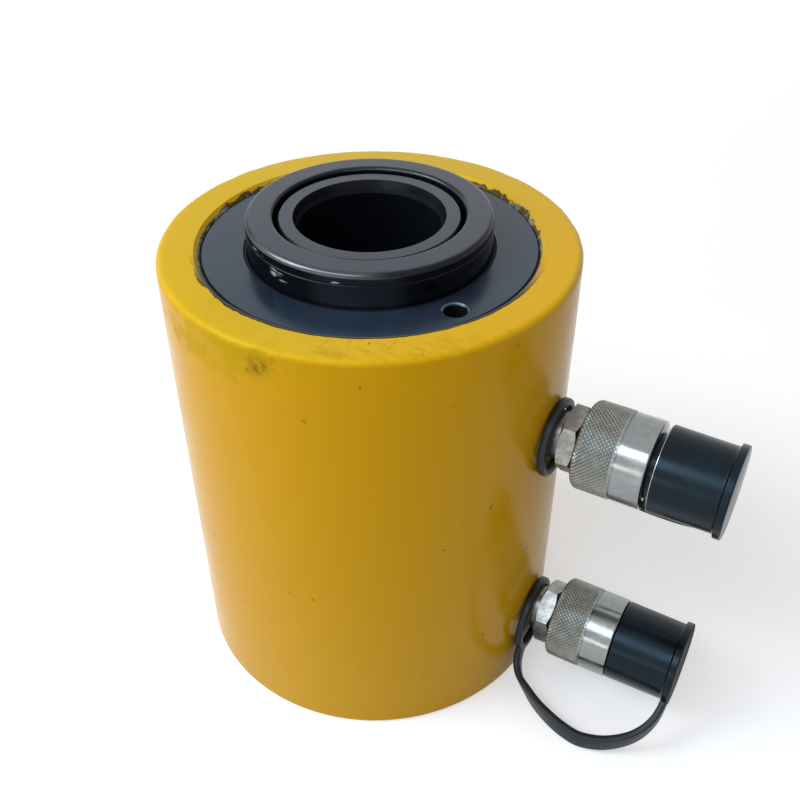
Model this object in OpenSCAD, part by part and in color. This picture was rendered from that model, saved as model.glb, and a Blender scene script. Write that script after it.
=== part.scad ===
// Double-acting hollow plunger cylinder with two screw couplers.
// Origin: centre of the through hole at the foot. +Z is up, the couplers point along +X.

/* [Body] */
// Outer diameter of the cylinder body
body_od = 159; // [154:1:175]
// Height of the cylinder body, from its foot to its rim
body_h = 191.5; // [188:0.5:215]
// Diameter of the working bore
bore_d = 124; // [118:0.5:126]
// Thickness of the base under the piston
base_t = 22; // [20:0.5:24]
// Radius of the rounded outer rim
rim_round = 2.5; // [1:0.25:4]
// Chamfer round the foot
foot_chamfer = 1; // [0.5:0.25:3]
// Depth of the bare chamfer at the rim's inner edge
rim_chamfer = 2; // [1:0.25:4]

/* [Base holes] */
// Bolt circle of the mounting holes in the foot
base_pcd = 130; // [115:1:135]
// Diameter of a mounting hole
base_hole_d = 14; // [8:0.5:16]
// Depth of a mounting hole
base_hole_depth = 14; // [8:0.5:16]
// Number of mounting holes
base_hole_count = 2; // [2:1:4]

/* [Ports] */
// Height of the lower port above the foot
lower_port_z = 29.6; // [28:0.2:36]
// Distance of the upper port below the rim
upper_port_drop = 62.3; // [60:0.2:68]
// Diameter of the threaded part of a port
port_d = 17.4; // [16:0.1:18.5]
// Depth of the threaded part of a port
port_depth = 12.5; // [10:0.25:13]
// Diameter of the oil passage behind a port
passage_d = 8; // [5:0.5:9]
// Metal left between an oil passage and the next edge inside
passage_margin = 1.8; // [1:0.2:3]

/* [Centre tube] */
// Diameter of the hole through the cylinder
hole_d = 54; // [50:0.5:56]
// Outer diameter of the centre tube
tube_od = 68; // [66:0.5:70]
// Radial width of the tube's foot flange
tube_flange_w = 5; // [3:0.5:8]
// Height of the tube's foot flange
tube_flange_h = 9; // [7:0.5:10]
// How far the tube's top lies below the saddle's face
tube_drop = 1.5; // [0.5:0.25:4]
// Radial width of the taper at the mouth of the hole
mouth_chamfer = 1.4; // [0.5:0.1:2]
// Depth of the taper at the mouth of the hole
mouth_depth = 5; // [3:0.5:8]

/* [Plunger] */
// Outer diameter of the plunger
plunger_d = 92; // [90:0.5:94]
// How far the retracted plunger stands above the rim
plunger_rise = 7; // [5:0.5:12]
// Working stroke
stroke = 50; // [35:1:60]
// Radial width of the stop shoulder on top of the piston
stop_w = 10; // [6:0.5:12]
// Radial depth of the feed relief under the piston
relief_w = 5; // [3:0.5:7]
// Extra radial gap round the centre tube, so that the plunger runs on its guide rings
bore_relief = 0.2; // [0.1:0.05:0.4]

/* [Saddle] */
// Thickness of the saddle's flange
saddle_t = 4.5; // [3.5:0.25:8]
// Rounding of the saddle's outer top edge
saddle_round = 1.7; // [0.5:0.1:2.5]
// Length of the saddle's threaded skirt
skirt_len = 15; // [10:0.5:20]
// Wall of the saddle's threaded skirt
skirt_wall = 2.4; // [2:0.1:4]
// How far the saddle's side lies inside the plunger's
saddle_inset = 0.1; // [0:0.05:0.5]
// Radial gap between the saddle and the centre tube
saddle_gap = 1.6; // [1:0.1:2.5]
// Edge break on both sides of the seam between saddle and plunger
seam_break = 0.3; // [0.1:0.05:0.6]

/* [Gland] */
// How far the gland's top lies below the rim
gland_recess = 2; // [1:0.25:4]
// Radial height of the gland's thread
thread_step = 1.5; // [1:0.25:2]
// Length of the plain pilot under the gland's thread
pilot_len = 18; // [14:0.5:22]
// Diameter of a pin-spanner hole
spanner_d = 9.6; // [5:0.2:10]
// Depth of a pin-spanner hole
spanner_depth = 9; // [5:0.5:12]
// Radius of the circle of pin-spanner holes
spanner_r = 55.3; // [54:0.1:57]
// Direction of the first pin-spanner hole
spanner_angle = -28; // [-180:1:180]

/* [Seals] */
// Height of a lip seal
seal_h = 8; // [6:0.5:10]
// Radial width of a lip seal
seal_w = 6.5; // [5:0.25:7]
// Height of the plunger's guide rings
guide_h = 12; // [8:0.5:14]
// Height of the gland's guide ring
rod_guide_h = 15; // [10:0.5:18]
// Thickness of a guide ring
guide_t = 2.5; // [2:0.1:3]
// Metal left between two seal grooves
land = 4; // [3:0.25:6]
// Height of a wiper ring
wiper_h = 5.5; // [4.5:0.25:7]
// Radial width of a wiper ring
wiper_w = 3.6; // [3:0.1:4.5]
// Thickness of the gland wiper's lip
wiper_lip = 1.3; // [0.8:0.1:1.6]
// Metal that covers the wiper in the gland
wiper_cover = 1.2; // [0.8:0.1:2]
// How far that lip ends below the gland's top
lip_drop = 0.2; // [0.1:0.05:0.5]
// Thickness of the inner wiper's lip
inner_lip = 0.9; // [0.6:0.05:1.2]
// Height of the inner wiper's lip
inner_lip_h = 4; // [2:0.5:6]
// Bevel at the tip of a wiper's lip
lip_bevel = 0.3; // [0.1:0.05:0.4]
// Wire diameter of the static O-ring on the gland
gland_ring_d = 4; // [3:0.1:5]
// Thickness of the backup ring beside that O-ring
backup_t = 1.6; // [1:0.1:2.5]
// Wire diameter of the static O-ring on the centre tube
tube_ring_d = 2.4; // [1.8:0.1:3]
// Room on each side of an O-ring in its groove
ring_room = 0.3; // [0.2:0.05:0.5]

/* [Coupler body] */
// Length of neck between the cylinder and the hexagon
neck_len = 5.8; // [5:0.1:9]
// Gap between the cylinder and the neck
neck_gap = 0.2; // [0.1:0.05:0.5]
// Chamfer at the nipple's inner end
nipple_chamfer = 0.8; // [0.4:0.1:1.5]
// Radial step from the pipe thread up to the neck
neck_step = 1; // [0.5:0.1:1.5]
// Width across the flats of the hexagon
hex_af = 24; // [22:0.5:27]
// Length of the hexagon
hex_len = 6.8; // [5:0.2:10]
// Direction of a corner of the upper hexagon, from straight up
upper_hex_turn = 39; // [0:1:60]
// Direction of a corner of the lower hexagon, from straight up
lower_hex_turn = 6; // [0:1:60]
// Diameter of the shank that the collar spins on
shank_d = 23; // [21.5:0.25:23.5]
// Length of the shank
shank_len = 10.9; // [9:0.1:14]
// Diameter of the nose
nose_d = 19; // [18:0.25:20]
// Length of the nose
nose_len = 10; // [9:0.25:12]
// Diameter of the socket in the nose
socket_d = 12; // [10:0.25:12.5]
// Depth of the socket in the nose
socket_depth = 5; // [4:0.25:5.5]
// Wire diameter of the O-ring on the nose
nose_ring_d = 1.9; // [1.2:0.1:2]
// Thickness of the snap ring
snap_t = 1.4; // [1:0.1:1.8]
// Depth of the snap ring's groove
snap_groove_depth = 1; // [0.6:0.1:1.2]
// How far the snap ring stands out of its groove
snap_stand = 0.9; // [0.5:0.1:1]

/* [Check valve] */
// Diameter of the valve chamber
chamber_d = 10.4; // [10:0.1:11]
// Diameter of the hole that the poppet's stem fills
stem_hole_d = 7.2; // [6:0.1:7.6]
// Length of that hole
stem_hole_len = 4; // [3:0.25:5]
// Radial gap between the poppet and its bores
valve_gap = 0.4; // [0.3:0.05:0.5]
// How far the stem's end lies behind the socket's floor
poppet_drop = 0.8; // [0.5:0.1:1.5]
// Length of the round band behind the poppet's cone
poppet_band = 2; // [1:0.25:3]
// Length of the poppet's guide
poppet_guide_len = 8; // [6:0.5:12]
// Wire diameter of the poppet's spring
spring_wire = 0.9; // [0.6:0.05:1.1]
// Turns of the poppet's spring
spring_turns = 8; // [5:1:10]
// Thickness of the spring's retainer
retainer_t = 2.2; // [1.5:0.1:3]
// Radial step that the retainer sits against
retainer_step = 1; // [0.6:0.1:1.5]
// Diameter of the oil hole in the retainer
retainer_hole_d = 4.4; // [3:0.1:5]

/* [Collar] */
// Outer diameter over the knurl
collar_d = 35; // [33:0.25:37]
// Length of the collar
collar_len = 27.2; // [25:0.2:30]
// Length of the knurled part
knurl_len = 15.5; // [12:0.25:17]
// Length of the rounded chamfer at the knurl's rear
knurl_chamfer = 2.7; // [1:0.1:4]
// Diameter of the collar's mouth
mouth_d = 25.6; // [25.2:0.1:27]
// Chamfer at the collar's mouth
mouth_edge = 1; // [0.5:0.1:1.5]
// How far the polished end lies inside the knurl's outside
polish_inset = 0.2; // [0.1:0.05:0.5]
// Width of the fine groove between knurl and polished end
groove_w = 0.5; // [0.3:0.1:1]

/* [Dust cap] */
// Diameter of the dust cap at its rim
cap_d = 33.8; // [32:0.2:36]
// Length of the dust cap, from its rim to its end
cap_len = 27.6; // [22:0.2:32]
// Taper of the dust cap, on its diameter
cap_taper = 0.8; // [0:0.1:2]
// Diameter of the dust cap's end flange
cap_flange_d = 35.8; // [34.2:0.2:38]
// Thickness of the dust cap's end flange
cap_flange_t = 3; // [2:0.25:4]
// Length of the dust cap's spigot
spigot_len = 8; // [5:0.25:10]
// Wall of the dust cap's spigot
spigot_wall = 1.8; // [1.2:0.1:2]
// Radial gap between the spigot and the collar's mouth
spigot_gap = 0.4; // [0.3:0.05:0.5]
// How far the upper dust cap is pulled out
upper_cap_out = 2.1; // [0:0.1:3]

/* [Strap] */
// Width of the strap
strap_w = 8; // [6:0.25:10]
// Thickness of the strap
strap_t = 3; // [2:0.1:3]
// Furthest reach of the lower strap's loop from the coupler's axis
strap_reach = 45; // [40:0.5:50]
// How much further the upper strap's loop reaches
upper_strap_more = 2.5; // [0:0.5:8]
// Width of the band of the strap's ring
strap_ring_w = 2.8; // [2:0.1:6]
// Thickness of the strap's ring
strap_ring_t = 3.2; // [3.2:0.1:4]
// Gap between the neck and the ring, opposite the pull
ring_gap = 0.6; // [0.3:0.1:1]
// Gap between the neck and the ring, at the sides
ring_side_gap = 3.4; // [1.4:0.1:5]
// How much looser the upper ring sits than the lower, opposite the pull
upper_ring_slack = 1.2; // [0:0.1:2]
// How far the upper ring is pulled out of round
upper_ring_pull = 3.2; // [2:0.1:6]
// How far the lower ring is pulled out of round
lower_ring_pull = 7.7; // [0:0.1:9]
// Swing of the upper ring's pull, from straight down
upper_ring_swing = 18; // [-60:1:60]
// Swing of the lower ring's pull, from straight down
lower_ring_swing = 42; // [0:1:75]
// How far the upper strap bulges past the middle of its flange
upper_strap_bulge = -2; // [-4:0.25:2]
// How far the lower strap bulges past the middle of its flange
lower_strap_bulge = 0; // [-4:0.25:2]
// Swing of the upper strap about its coupler, from straight down
upper_strap_swing = -30; // [-60:1:60]
// Swing of the lower strap about its coupler, from straight down
lower_strap_swing = 57; // [57:1:75]

/* [Clearances] */
// Small chamfer on turned edges
edge_break = 0.6; // [0.3:0.05:0.8]
// Gap where a piece rests on its seat
seat_gap = 0.3; // [0.2:0.05:0.4]
// Radial gap between a moving piece and metal beside it
slide_gap = 0.3; // [0.2:0.05:0.4]
// Gap between a seal and the wall beside it
seal_gap = 0.1; // [0.05:0.05:0.15]
// Radial gap in a screwed joint
thread_gap = 0.1; // [0.05:0.05:0.2]

/* [Hidden] */
$fn = 96;
// Overshoot of a cutting shape past the face that it cuts
cut = 1;

// Radii of the body, the tube and the plunger
body_r = body_od / 2;
bore_r = bore_d / 2;
thread_r = bore_r + thread_step;
hole_r = hole_d / 2;
tube_r = tube_od / 2;
tube_bore_r = tube_r + slide_gap + bore_relief;
tube_flange_r = tube_r + tube_flange_w;
plunger_r = plunger_d / 2;
saddle_r = plunger_r - saddle_inset;
saddle_bore_r = tube_r + saddle_gap;
skirt_r = saddle_bore_r + skirt_wall;

// Heights of the gland and the ports
gland_top = body_h - gland_recess;
upper_port_z = body_h - upper_port_drop;
gland_foot = upper_port_z + passage_d / 2 + passage_margin;
thread_foot = gland_foot + pilot_len;

// Heights along the plunger
piston_z = base_t + seat_gap;
head_z = lower_port_z + passage_d / 2 + passage_margin;
piston_seal_z = head_z + land;
piston_guide_z = piston_seal_z + seal_h + land;
head_top = piston_guide_z + guide_h + land;
stop_z = gland_foot - seat_gap - stroke;
rod_top = body_h + plunger_rise;
saddle_top = rod_top + saddle_t;
tube_top = saddle_top - tube_drop;
inner_wiper_top = rod_top - skirt_len - seal_gap;
socket_foot = inner_wiper_top - wiper_h - seal_gap;

// Heights inside the gland
wiper_top = gland_top - wiper_cover;
rod_seal_z = wiper_top - wiper_h - land - seal_h;
rod_guide_z = rod_seal_z - land - rod_guide_h;
gland_ring_z = gland_foot + pilot_len / 2;
tube_ring_z = (tube_flange_h + base_t) / 2;

// Stations along a coupler, measured from the cylinder's axis
nipple_end = body_r - port_depth + thread_gap;
neck_start = body_r + neck_gap;
hex_start = body_r + neck_len;
hex_end = hex_start + hex_len;
shank_end = hex_end + shank_len;
nose_end = shank_end + nose_len;
nipple_r = port_d / 2 - thread_gap;
neck_r = nipple_r + neck_step;
shank_r = shank_d / 2;
nose_r = nose_d / 2;
snap_groove_r = shank_r - snap_groove_depth;
snap_r = shank_r + snap_stand;
snap_end = shank_end - seat_gap;
snap_start = snap_end - snap_t;
nose_ring_x = nose_end - nose_len / 2 + nose_ring_d;
groove_share = 0.68;
nose_groove_r = nose_r - nose_ring_d * groove_share;

// Stations of the check valve
chamber_r = chamber_d / 2;
stem_hole_r = stem_hole_d / 2;
socket_end = nose_end - socket_depth;
cone_end = socket_end - stem_hole_len;
cone_start = cone_end - (chamber_r - stem_hole_r);
retainer_seat_r = chamber_r + retainer_step;
retainer_end = nipple_end + retainer_t;
poppet_r = chamber_r - valve_gap;
stem_r = stem_hole_r - valve_gap;
poppet_slack = seat_gap * sqrt(2);
poppet_cone_end = cone_end + (stem_hole_r - stem_r) - poppet_slack;
poppet_cone_start = poppet_cone_end - (poppet_r - stem_r);
poppet_end = socket_end - poppet_drop;
poppet_rear = poppet_cone_start - poppet_guide_len;
spring_r = chamber_r - spring_wire / 2 - valve_gap;
spring_start = retainer_end + spring_wire / 2 + seal_gap;
spring_end = poppet_rear - spring_wire / 2 - seal_gap;

// Stations of the collar and the dust cap
collar_r = collar_d / 2;
collar_start = hex_end + seat_gap;
collar_end = collar_start + collar_len;
collar_bore_r = shank_r + slide_gap;
collar_step = snap_start - seat_gap;
mouth_r = mouth_d / 2;
polish_r = collar_r - polish_inset;
groove_start = collar_start + knurl_len;
knurl_rear_r = hex_af / sqrt(3) + seat_gap;
cap_r = cap_d / 2;
cap_flange_r = cap_flange_d / 2;
spigot_r = mouth_r - spigot_gap;
core_r = spigot_r - spigot_wall;
cap_home = collar_end + seat_gap;

// Routes of the straps, out from the ring and back to the cap's flange.
// Each point is a share of the way along the coupler and a share of the way out;
// on the way back there is also a share of the bulge past the flange.
upper_out = [
    [0, 0], [0, 0.14], [0.02, 0.29], [0.055, 0.465], [0.125, 0.63], [0.22, 0.78],
    [0.335, 0.9], [0.475, 0.975], [0.615, 1]
];
upper_back = [
    [0.755, 0.965, 0], [0.868, 0.835, 0.15], [0.955, 0.64, 0.4], [0.996, 0.425, 0.9],
    [1, 0.21, 1], [1, 0, 0]
];
lower_out = [
    [0, 0], [0.004, 0.16], [0.024, 0.33], [0.07, 0.49], [0.146, 0.62], [0.246, 0.77],
    [0.362, 0.89], [0.465, 0.965], [0.575, 1]
];
lower_back = [
    [0.683, 0.95, 0], [0.776, 0.855, 0.1], [0.872, 0.695, 0.3], [0.937, 0.515, 0.6],
    [0.979, 0.31, 1], [0.995, 0.13, 1], [1, 0, 0]
];
strap_ring_x = neck_start + seal_gap;
ring_half_w = neck_r + ring_side_gap;

body_colour = "goldenrod";
oxide_colour = "dimgray";
steel_colour = "silver";
rubber_colour = [0.12, 0.12, 0.13];
seal_colour = "seagreen";
guide_colour = "peru";

// Helper shapes

// A solid of revolution from points of radius and height.
module revolve(points) {
    rotate_extrude() polygon(points);
}

// A plain ring between two radii and two heights.
module ring(inner_r, outer_r, z0, z1) {
    rotate_extrude()
        translate([inner_r, z0])
            square([outer_r - inner_r, z1 - z0]);
}

// A ring with a round section.
module round_ring(mean_r, wire_d, z) {
    rotate_extrude()
        translate([mean_r, z])
            circle(d = wire_d, $fn = 32);
}

// A lip seal with its open side down and both lips flared.
module lip_seal(inner_r, outer_r, z, h) {
    mid_r = (inner_r + outer_r) / 2;
    flare = (outer_r - inner_r) * 0.08;
    notch_w = (outer_r - inner_r) * 0.22;
    notch_top = z + h * 0.45;
    heel = z + h * 0.6;
    revolve([
        [inner_r, z], [mid_r - notch_w, z], [mid_r, notch_top], [mid_r + notch_w, z],
        [outer_r, z], [outer_r - flare, heel], [outer_r - flare, z + h],
        [inner_r + flare, z + h], [inner_r + flare, heel]
    ]);
}

// Points on a quarter circle, from the outer side to the top.
function corner(r, z, radius, steps = 8) = [
    for (i = [0:steps])
        let (a = 90 * i / steps)
            [r - radius + radius * cos(a), z - radius + radius * sin(a)]
];

// Points of an oval, longer along its first axis, shifted along it.
function oval(half_l, half_w, shift, steps = 64) = [
    for (i = [0:steps - 1])
        let (a = 360 * i / steps)
            [shift + half_l * cos(a), half_w * sin(a)]
];

// Distance from the centre to such an oval, in a direction given from its first axis.
function oval_reach(half_l, half_w, shift, angle) =
    let (
        c = cos(angle) / half_l,
        s = sin(angle) / half_w,
        q = c * c + s * s,
        off = shift / half_l
    )
        (c * off + sqrt(q - s * s * off * off)) / q;

// Triangles of a tube whose rings of points follow each other.
function tube_faces(rings, sides) = concat(
    [[for (j = [0:sides - 1]) j]],
    [
        for (i = [0:rings - 2], j = [0:sides - 1])
            let (a = i * sides + j, b = i * sides + (j + 1) % sides)
                each [[a, a + sides, b], [b, a + sides, b + sides]]
    ],
    [[for (j = [sides - 1:-1:0]) (rings - 1) * sides + j]]
);

// Puts a piece drawn along +Z onto a port, with its axis along +X.
module on_port(z) {
    translate([0, 0, z])
        rotate([0, 90, 0])
            children();
}

// Cylinder and tube

module port_cut(z) {
    on_port(z) {
        translate([0, 0, body_r - port_depth])
            cylinder(h = port_depth + cut, d = port_d);
        translate([0, 0, plunger_r])
            cylinder(h = body_r - plunger_r - port_depth + cut, d = passage_d);
    }
}

module cylinder_body() {
    color(body_colour)
        difference() {
            revolve(concat(
                [
                    [tube_flange_r + slide_gap, 0], [body_r - foot_chamfer, 0],
                    [body_r, foot_chamfer]
                ],
                corner(body_r, body_h, rim_round),
                [
                    [thread_r + rim_chamfer, body_h], [thread_r, body_h - rim_chamfer],
                    [thread_r, thread_foot], [bore_r, thread_foot], [bore_r, base_t],
                    [tube_r + thread_gap, base_t], [tube_r + thread_gap, tube_flange_h],
                    [tube_flange_r + slide_gap, tube_flange_h]
                ]
            ));
            port_cut(lower_port_z);
            port_cut(upper_port_z);
            for (i = [0:base_hole_count - 1])
                rotate([0, 0, 90 + 360 * i / base_hole_count])
                    translate([base_pcd / 2, 0, -cut])
                        cylinder(h = base_hole_depth + cut, d = base_hole_d);
        }
}

module centre_tube() {
    groove_r = tube_r - tube_ring_d;
    groove_h = tube_ring_d / 2 + ring_room;
    color(oxide_colour)
        revolve([
            [hole_r, 0], [tube_flange_r, 0], [tube_flange_r, tube_flange_h],
            [tube_r, tube_flange_h], [tube_r, tube_ring_z - groove_h],
            [groove_r, tube_ring_z - groove_h], [groove_r, tube_ring_z + groove_h],
            [tube_r, tube_ring_z + groove_h], [tube_r, tube_top - edge_break],
            [tube_r - edge_break, tube_top], [hole_r + mouth_chamfer, tube_top],
            [hole_r, tube_top - mouth_depth]
        ]);
}

module tube_o_ring() {
    color(rubber_colour)
        round_ring(tube_r - tube_ring_d / 2 + thread_gap / 2, tube_ring_d, tube_ring_z);
}

// Gland and its seals

module gland_nut() {
    bore = plunger_r + slide_gap;
    outer = thread_r - thread_gap;
    pilot = bore_r - thread_gap;
    seal_r = plunger_r + seal_gap + seal_w + seal_gap;
    guide_r = plunger_r + seal_gap + guide_t + seal_gap;
    wiper_r = plunger_r + seal_gap + wiper_w + seal_gap;
    mouth = plunger_r + seal_gap + wiper_lip + seal_gap;
    ring_groove_r = pilot - gland_ring_d - seal_gap;
    ring_groove_top = gland_ring_z + gland_ring_d / 2 + backup_t + 3 * seal_gap;
    ring_groove_foot = gland_ring_z - gland_ring_d / 2 - seal_gap;
    color(oxide_colour)
        difference() {
            revolve([
                [bore, gland_foot], [pilot - edge_break, gland_foot],
                [pilot, gland_foot + edge_break], [pilot, ring_groove_foot],
                [ring_groove_r, ring_groove_foot], [ring_groove_r, ring_groove_top],
                [pilot, ring_groove_top], [pilot, thread_foot], [outer, thread_foot],
                [outer, gland_top - edge_break], [outer - edge_break, gland_top],
                [mouth, gland_top], [mouth, wiper_top], [wiper_r, wiper_top],
                [wiper_r, wiper_top - wiper_h - 2 * seal_gap],
                [bore, wiper_top - wiper_h - 2 * seal_gap],
                [bore, rod_seal_z + seal_h + seal_gap], [seal_r, rod_seal_z + seal_h + seal_gap],
                [seal_r, rod_seal_z - seal_gap], [bore, rod_seal_z - seal_gap],
                [bore, rod_guide_z + rod_guide_h + seal_gap],
                [guide_r, rod_guide_z + rod_guide_h + seal_gap],
                [guide_r, rod_guide_z - seal_gap], [bore, rod_guide_z - seal_gap]
            ]);
            for (turn = [0, 180])
                rotate([0, 0, spanner_angle + turn])
                    translate([spanner_r, 0, gland_top]) {
                        translate([0, 0, -spanner_depth])
                            cylinder(h = spanner_depth + cut, d = spanner_d - 2 * edge_break);
                        translate([0, 0, -edge_break])
                            cylinder(
                                h = edge_break, d1 = spanner_d - 2 * edge_break, d2 = spanner_d
                            );
                    }
        }
}

// A scraper ring: a square heel with a thin lip that reaches up along the sliding face.
module wiper(inner_r, heel_r, lip_r, z, lip_top) {
    heel_top = z + wiper_h;
    revolve([
        [inner_r, z], [heel_r, z], [heel_r, heel_top], [lip_r, heel_top],
        [lip_r, lip_top - lip_bevel], [inner_r + lip_bevel, lip_top],
        [inner_r, lip_top - lip_bevel]
    ]);
}

module rod_wiper() {
    color(rubber_colour)
        wiper(
            plunger_r + seal_gap, plunger_r + seal_gap + wiper_w,
            plunger_r + seal_gap + wiper_lip, wiper_top - wiper_h - seal_gap, gland_top - lip_drop
        );
}

module rod_seal() {
    color(seal_colour)
        lip_seal(plunger_r + seal_gap, plunger_r + seal_gap + seal_w, rod_seal_z, seal_h);
}

module rod_guide_ring() {
    color(guide_colour)
        ring(
            plunger_r + seal_gap, plunger_r + seal_gap + guide_t,
            rod_guide_z, rod_guide_z + rod_guide_h
        );
}

module gland_o_ring() {
    color(rubber_colour)
        round_ring(
            bore_r - thread_gap - gland_ring_d / 2 - seal_gap / 2, gland_ring_d, gland_ring_z
        );
}

module gland_backup_ring() {
    outer = bore_r - thread_gap;
    foot = gland_ring_z + gland_ring_d / 2 + seal_gap;
    color(guide_colour)
        ring(outer - gland_ring_d, outer, foot, foot + backup_t);
}

// Plunger, saddle and their seals

module plunger() {
    head_r = bore_r - slide_gap;
    groove_r = bore_r - seal_gap - seal_w - seal_gap;
    guide_r = bore_r - seal_gap - guide_t - seal_gap;
    inner_groove_r = tube_r + seal_gap + seal_w + seal_gap;
    inner_guide_r = tube_r + seal_gap + guide_t + seal_gap;
    seal_top = piston_seal_z + seal_h + seal_gap;
    guide_top = piston_guide_z + guide_h + seal_gap;
    color(oxide_colour)
        revolve([
            [tube_bore_r, piston_z], [head_r - relief_w, piston_z], [head_r - relief_w, head_z],
            [head_r, head_z], [head_r, piston_seal_z - seal_gap],
            [groove_r, piston_seal_z - seal_gap], [groove_r, seal_top], [head_r, seal_top],
            [head_r, piston_guide_z - seal_gap], [guide_r, piston_guide_z - seal_gap],
            [guide_r, guide_top], [head_r, guide_top], [head_r, head_top - edge_break],
            [head_r - edge_break, head_top], [plunger_r + stop_w, head_top],
            [plunger_r + stop_w, stop_z], [plunger_r, stop_z], [plunger_r, rod_top - seam_break],
            [plunger_r - seam_break, rod_top], [skirt_r + thread_gap, rod_top],
            [skirt_r + thread_gap, socket_foot], [tube_bore_r, socket_foot],
            [tube_bore_r, guide_top], [inner_guide_r, guide_top],
            [inner_guide_r, piston_guide_z - seal_gap], [tube_bore_r, piston_guide_z - seal_gap],
            [tube_bore_r, seal_top], [inner_groove_r, seal_top],
            [inner_groove_r, piston_seal_z - seal_gap], [tube_bore_r, piston_seal_z - seal_gap]
        ]);
}

module saddle() {
    skirt_foot = rod_top - skirt_len;
    color(oxide_colour)
        revolve(concat(
            [
                [saddle_bore_r, skirt_foot], [skirt_r, skirt_foot], [skirt_r, rod_top],
                [saddle_r - seam_break, rod_top], [saddle_r, rod_top + seam_break]
            ],
            corner(saddle_r, saddle_top, saddle_round),
            [[saddle_bore_r + seam_break, saddle_top], [saddle_bore_r, saddle_top - seam_break]]
        ));
}

module inner_wiper() {
    color(rubber_colour)
        wiper(
            tube_r + seal_gap, skirt_r, tube_r + seal_gap + inner_lip,
            inner_wiper_top - wiper_h, inner_wiper_top + inner_lip_h
        );
}

module inner_seal() {
    color(seal_colour)
        lip_seal(tube_r + seal_gap, tube_r + seal_gap + seal_w, piston_seal_z, seal_h);
}

module inner_guide_ring() {
    color(guide_colour)
        ring(
            tube_r + seal_gap, tube_r + seal_gap + guide_t,
            piston_guide_z, piston_guide_z + guide_h
        );
}

module piston_seal() {
    color(seal_colour)
        lip_seal(bore_r - seal_gap - seal_w, bore_r - seal_gap, piston_seal_z, seal_h);
}

module piston_guide_ring() {
    color(guide_colour)
        ring(
            bore_r - seal_gap - guide_t, bore_r - seal_gap,
            piston_guide_z, piston_guide_z + guide_h
        );
}

// Couplers

module chamfered_hex(turn) {
    corner_r = hex_af / sqrt(3);
    face_inset = 0.3;
    flat_r = hex_af / 2 - face_inset;
    slope = (corner_r - flat_r) / 2;
    off_corner = 20;
    rotate([0, 0, turn])
        intersection() {
            translate([0, 0, hex_start])
                cylinder(h = hex_len, r = corner_r, $fn = 6);
            rotate([0, 0, off_corner])
                revolve([
                    [0, hex_start], [flat_r, hex_start], [corner_r, hex_start + slope],
                    [corner_r, hex_end - slope], [flat_r, hex_end], [0, hex_end]
                ]);
        }
}

module coupler_body(z, turn) {
    ring_half = nose_ring_d / 2 + ring_room;
    hex_mid = (hex_start + hex_end) / 2;
    color(steel_colour)
        on_port(z)
            difference() {
                union() {
                    chamfered_hex(turn);
                    revolve([
                        [0, nipple_end], [nipple_r - nipple_chamfer, nipple_end],
                        [nipple_r, nipple_end + nipple_chamfer], [nipple_r, neck_start],
                        [neck_r, neck_start], [neck_r, hex_mid], [shank_r, hex_mid],
                        [shank_r, snap_start - seal_gap], [snap_groove_r, snap_start - seal_gap],
                        [snap_groove_r, snap_end + seal_gap], [shank_r, snap_end + seal_gap],
                        [shank_r, shank_end], [nose_r, shank_end],
                        [nose_r, nose_ring_x - ring_half], [nose_groove_r, nose_ring_x - ring_half],
                        [nose_groove_r, nose_ring_x + ring_half],
                        [nose_r, nose_ring_x + ring_half], [nose_r, nose_end - edge_break],
                        [nose_r - edge_break, nose_end], [0, nose_end]
                    ]);
                }
                revolve([
                    [0, nipple_end - cut], [retainer_seat_r, nipple_end - cut],
                    [retainer_seat_r, retainer_end], [chamber_r, retainer_end],
                    [chamber_r, cone_start], [stem_hole_r, cone_end], [stem_hole_r, socket_end],
                    [socket_d / 2, socket_end], [socket_d / 2, nose_end + cut], [0, nose_end + cut]
                ]);
            }
}

module snap_ring(z) {
    gap_w = 4;
    color(steel_colour)
        on_port(z)
            difference() {
                ring(snap_groove_r + seal_gap, snap_r, snap_start, snap_end);
                translate([0, -gap_w / 2, snap_start - cut])
                    cube([snap_r + cut, gap_w, snap_t + 2 * cut]);
            }
}

module nose_o_ring(z) {
    color(rubber_colour)
        on_port(z)
            round_ring(nose_groove_r + nose_ring_d / 2 + seal_gap, nose_ring_d, nose_ring_x);
}

module spring_retainer(z) {
    color(steel_colour)
        on_port(z)
            ring(
                retainer_hole_d / 2, retainer_seat_r - thread_gap,
                nipple_end + thread_gap, retainer_end
            );
}

module poppet_spring(z) {
    steps = 14;
    sides = 6;
    rings = spring_turns * steps + 1;
    pitch = (spring_end - spring_start) / (rings - 1);
    color(steel_colour)
        on_port(z)
            polyhedron(
                points = [
                    for (i = [0:rings - 1], j = [0:sides - 1])
                        let (
                            a = 360 * i / steps,
                            b = 360 * j / sides,
                            r = spring_r + spring_wire / 2 * cos(b)
                        )
                            [
                                r * cos(a), r * sin(a),
                                spring_start + pitch * i - spring_wire / 2 * sin(b)
                            ]
                ],
                faces = tube_faces(rings, sides)
            );
}

module poppet(z) {
    color(steel_colour)
        on_port(z) {
            translate([0, 0, poppet_rear])
                cylinder(h = poppet_guide_len - poppet_band / 2, r = poppet_r - seal_gap, $fn = 6);
            revolve([
                [0, poppet_cone_start - poppet_band], [poppet_r, poppet_cone_start - poppet_band],
                [poppet_r, poppet_cone_start], [stem_r, poppet_cone_end],
                [stem_r, poppet_end - edge_break], [stem_r - edge_break, poppet_end],
                [0, poppet_end]
            ]);
        }
}

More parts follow.
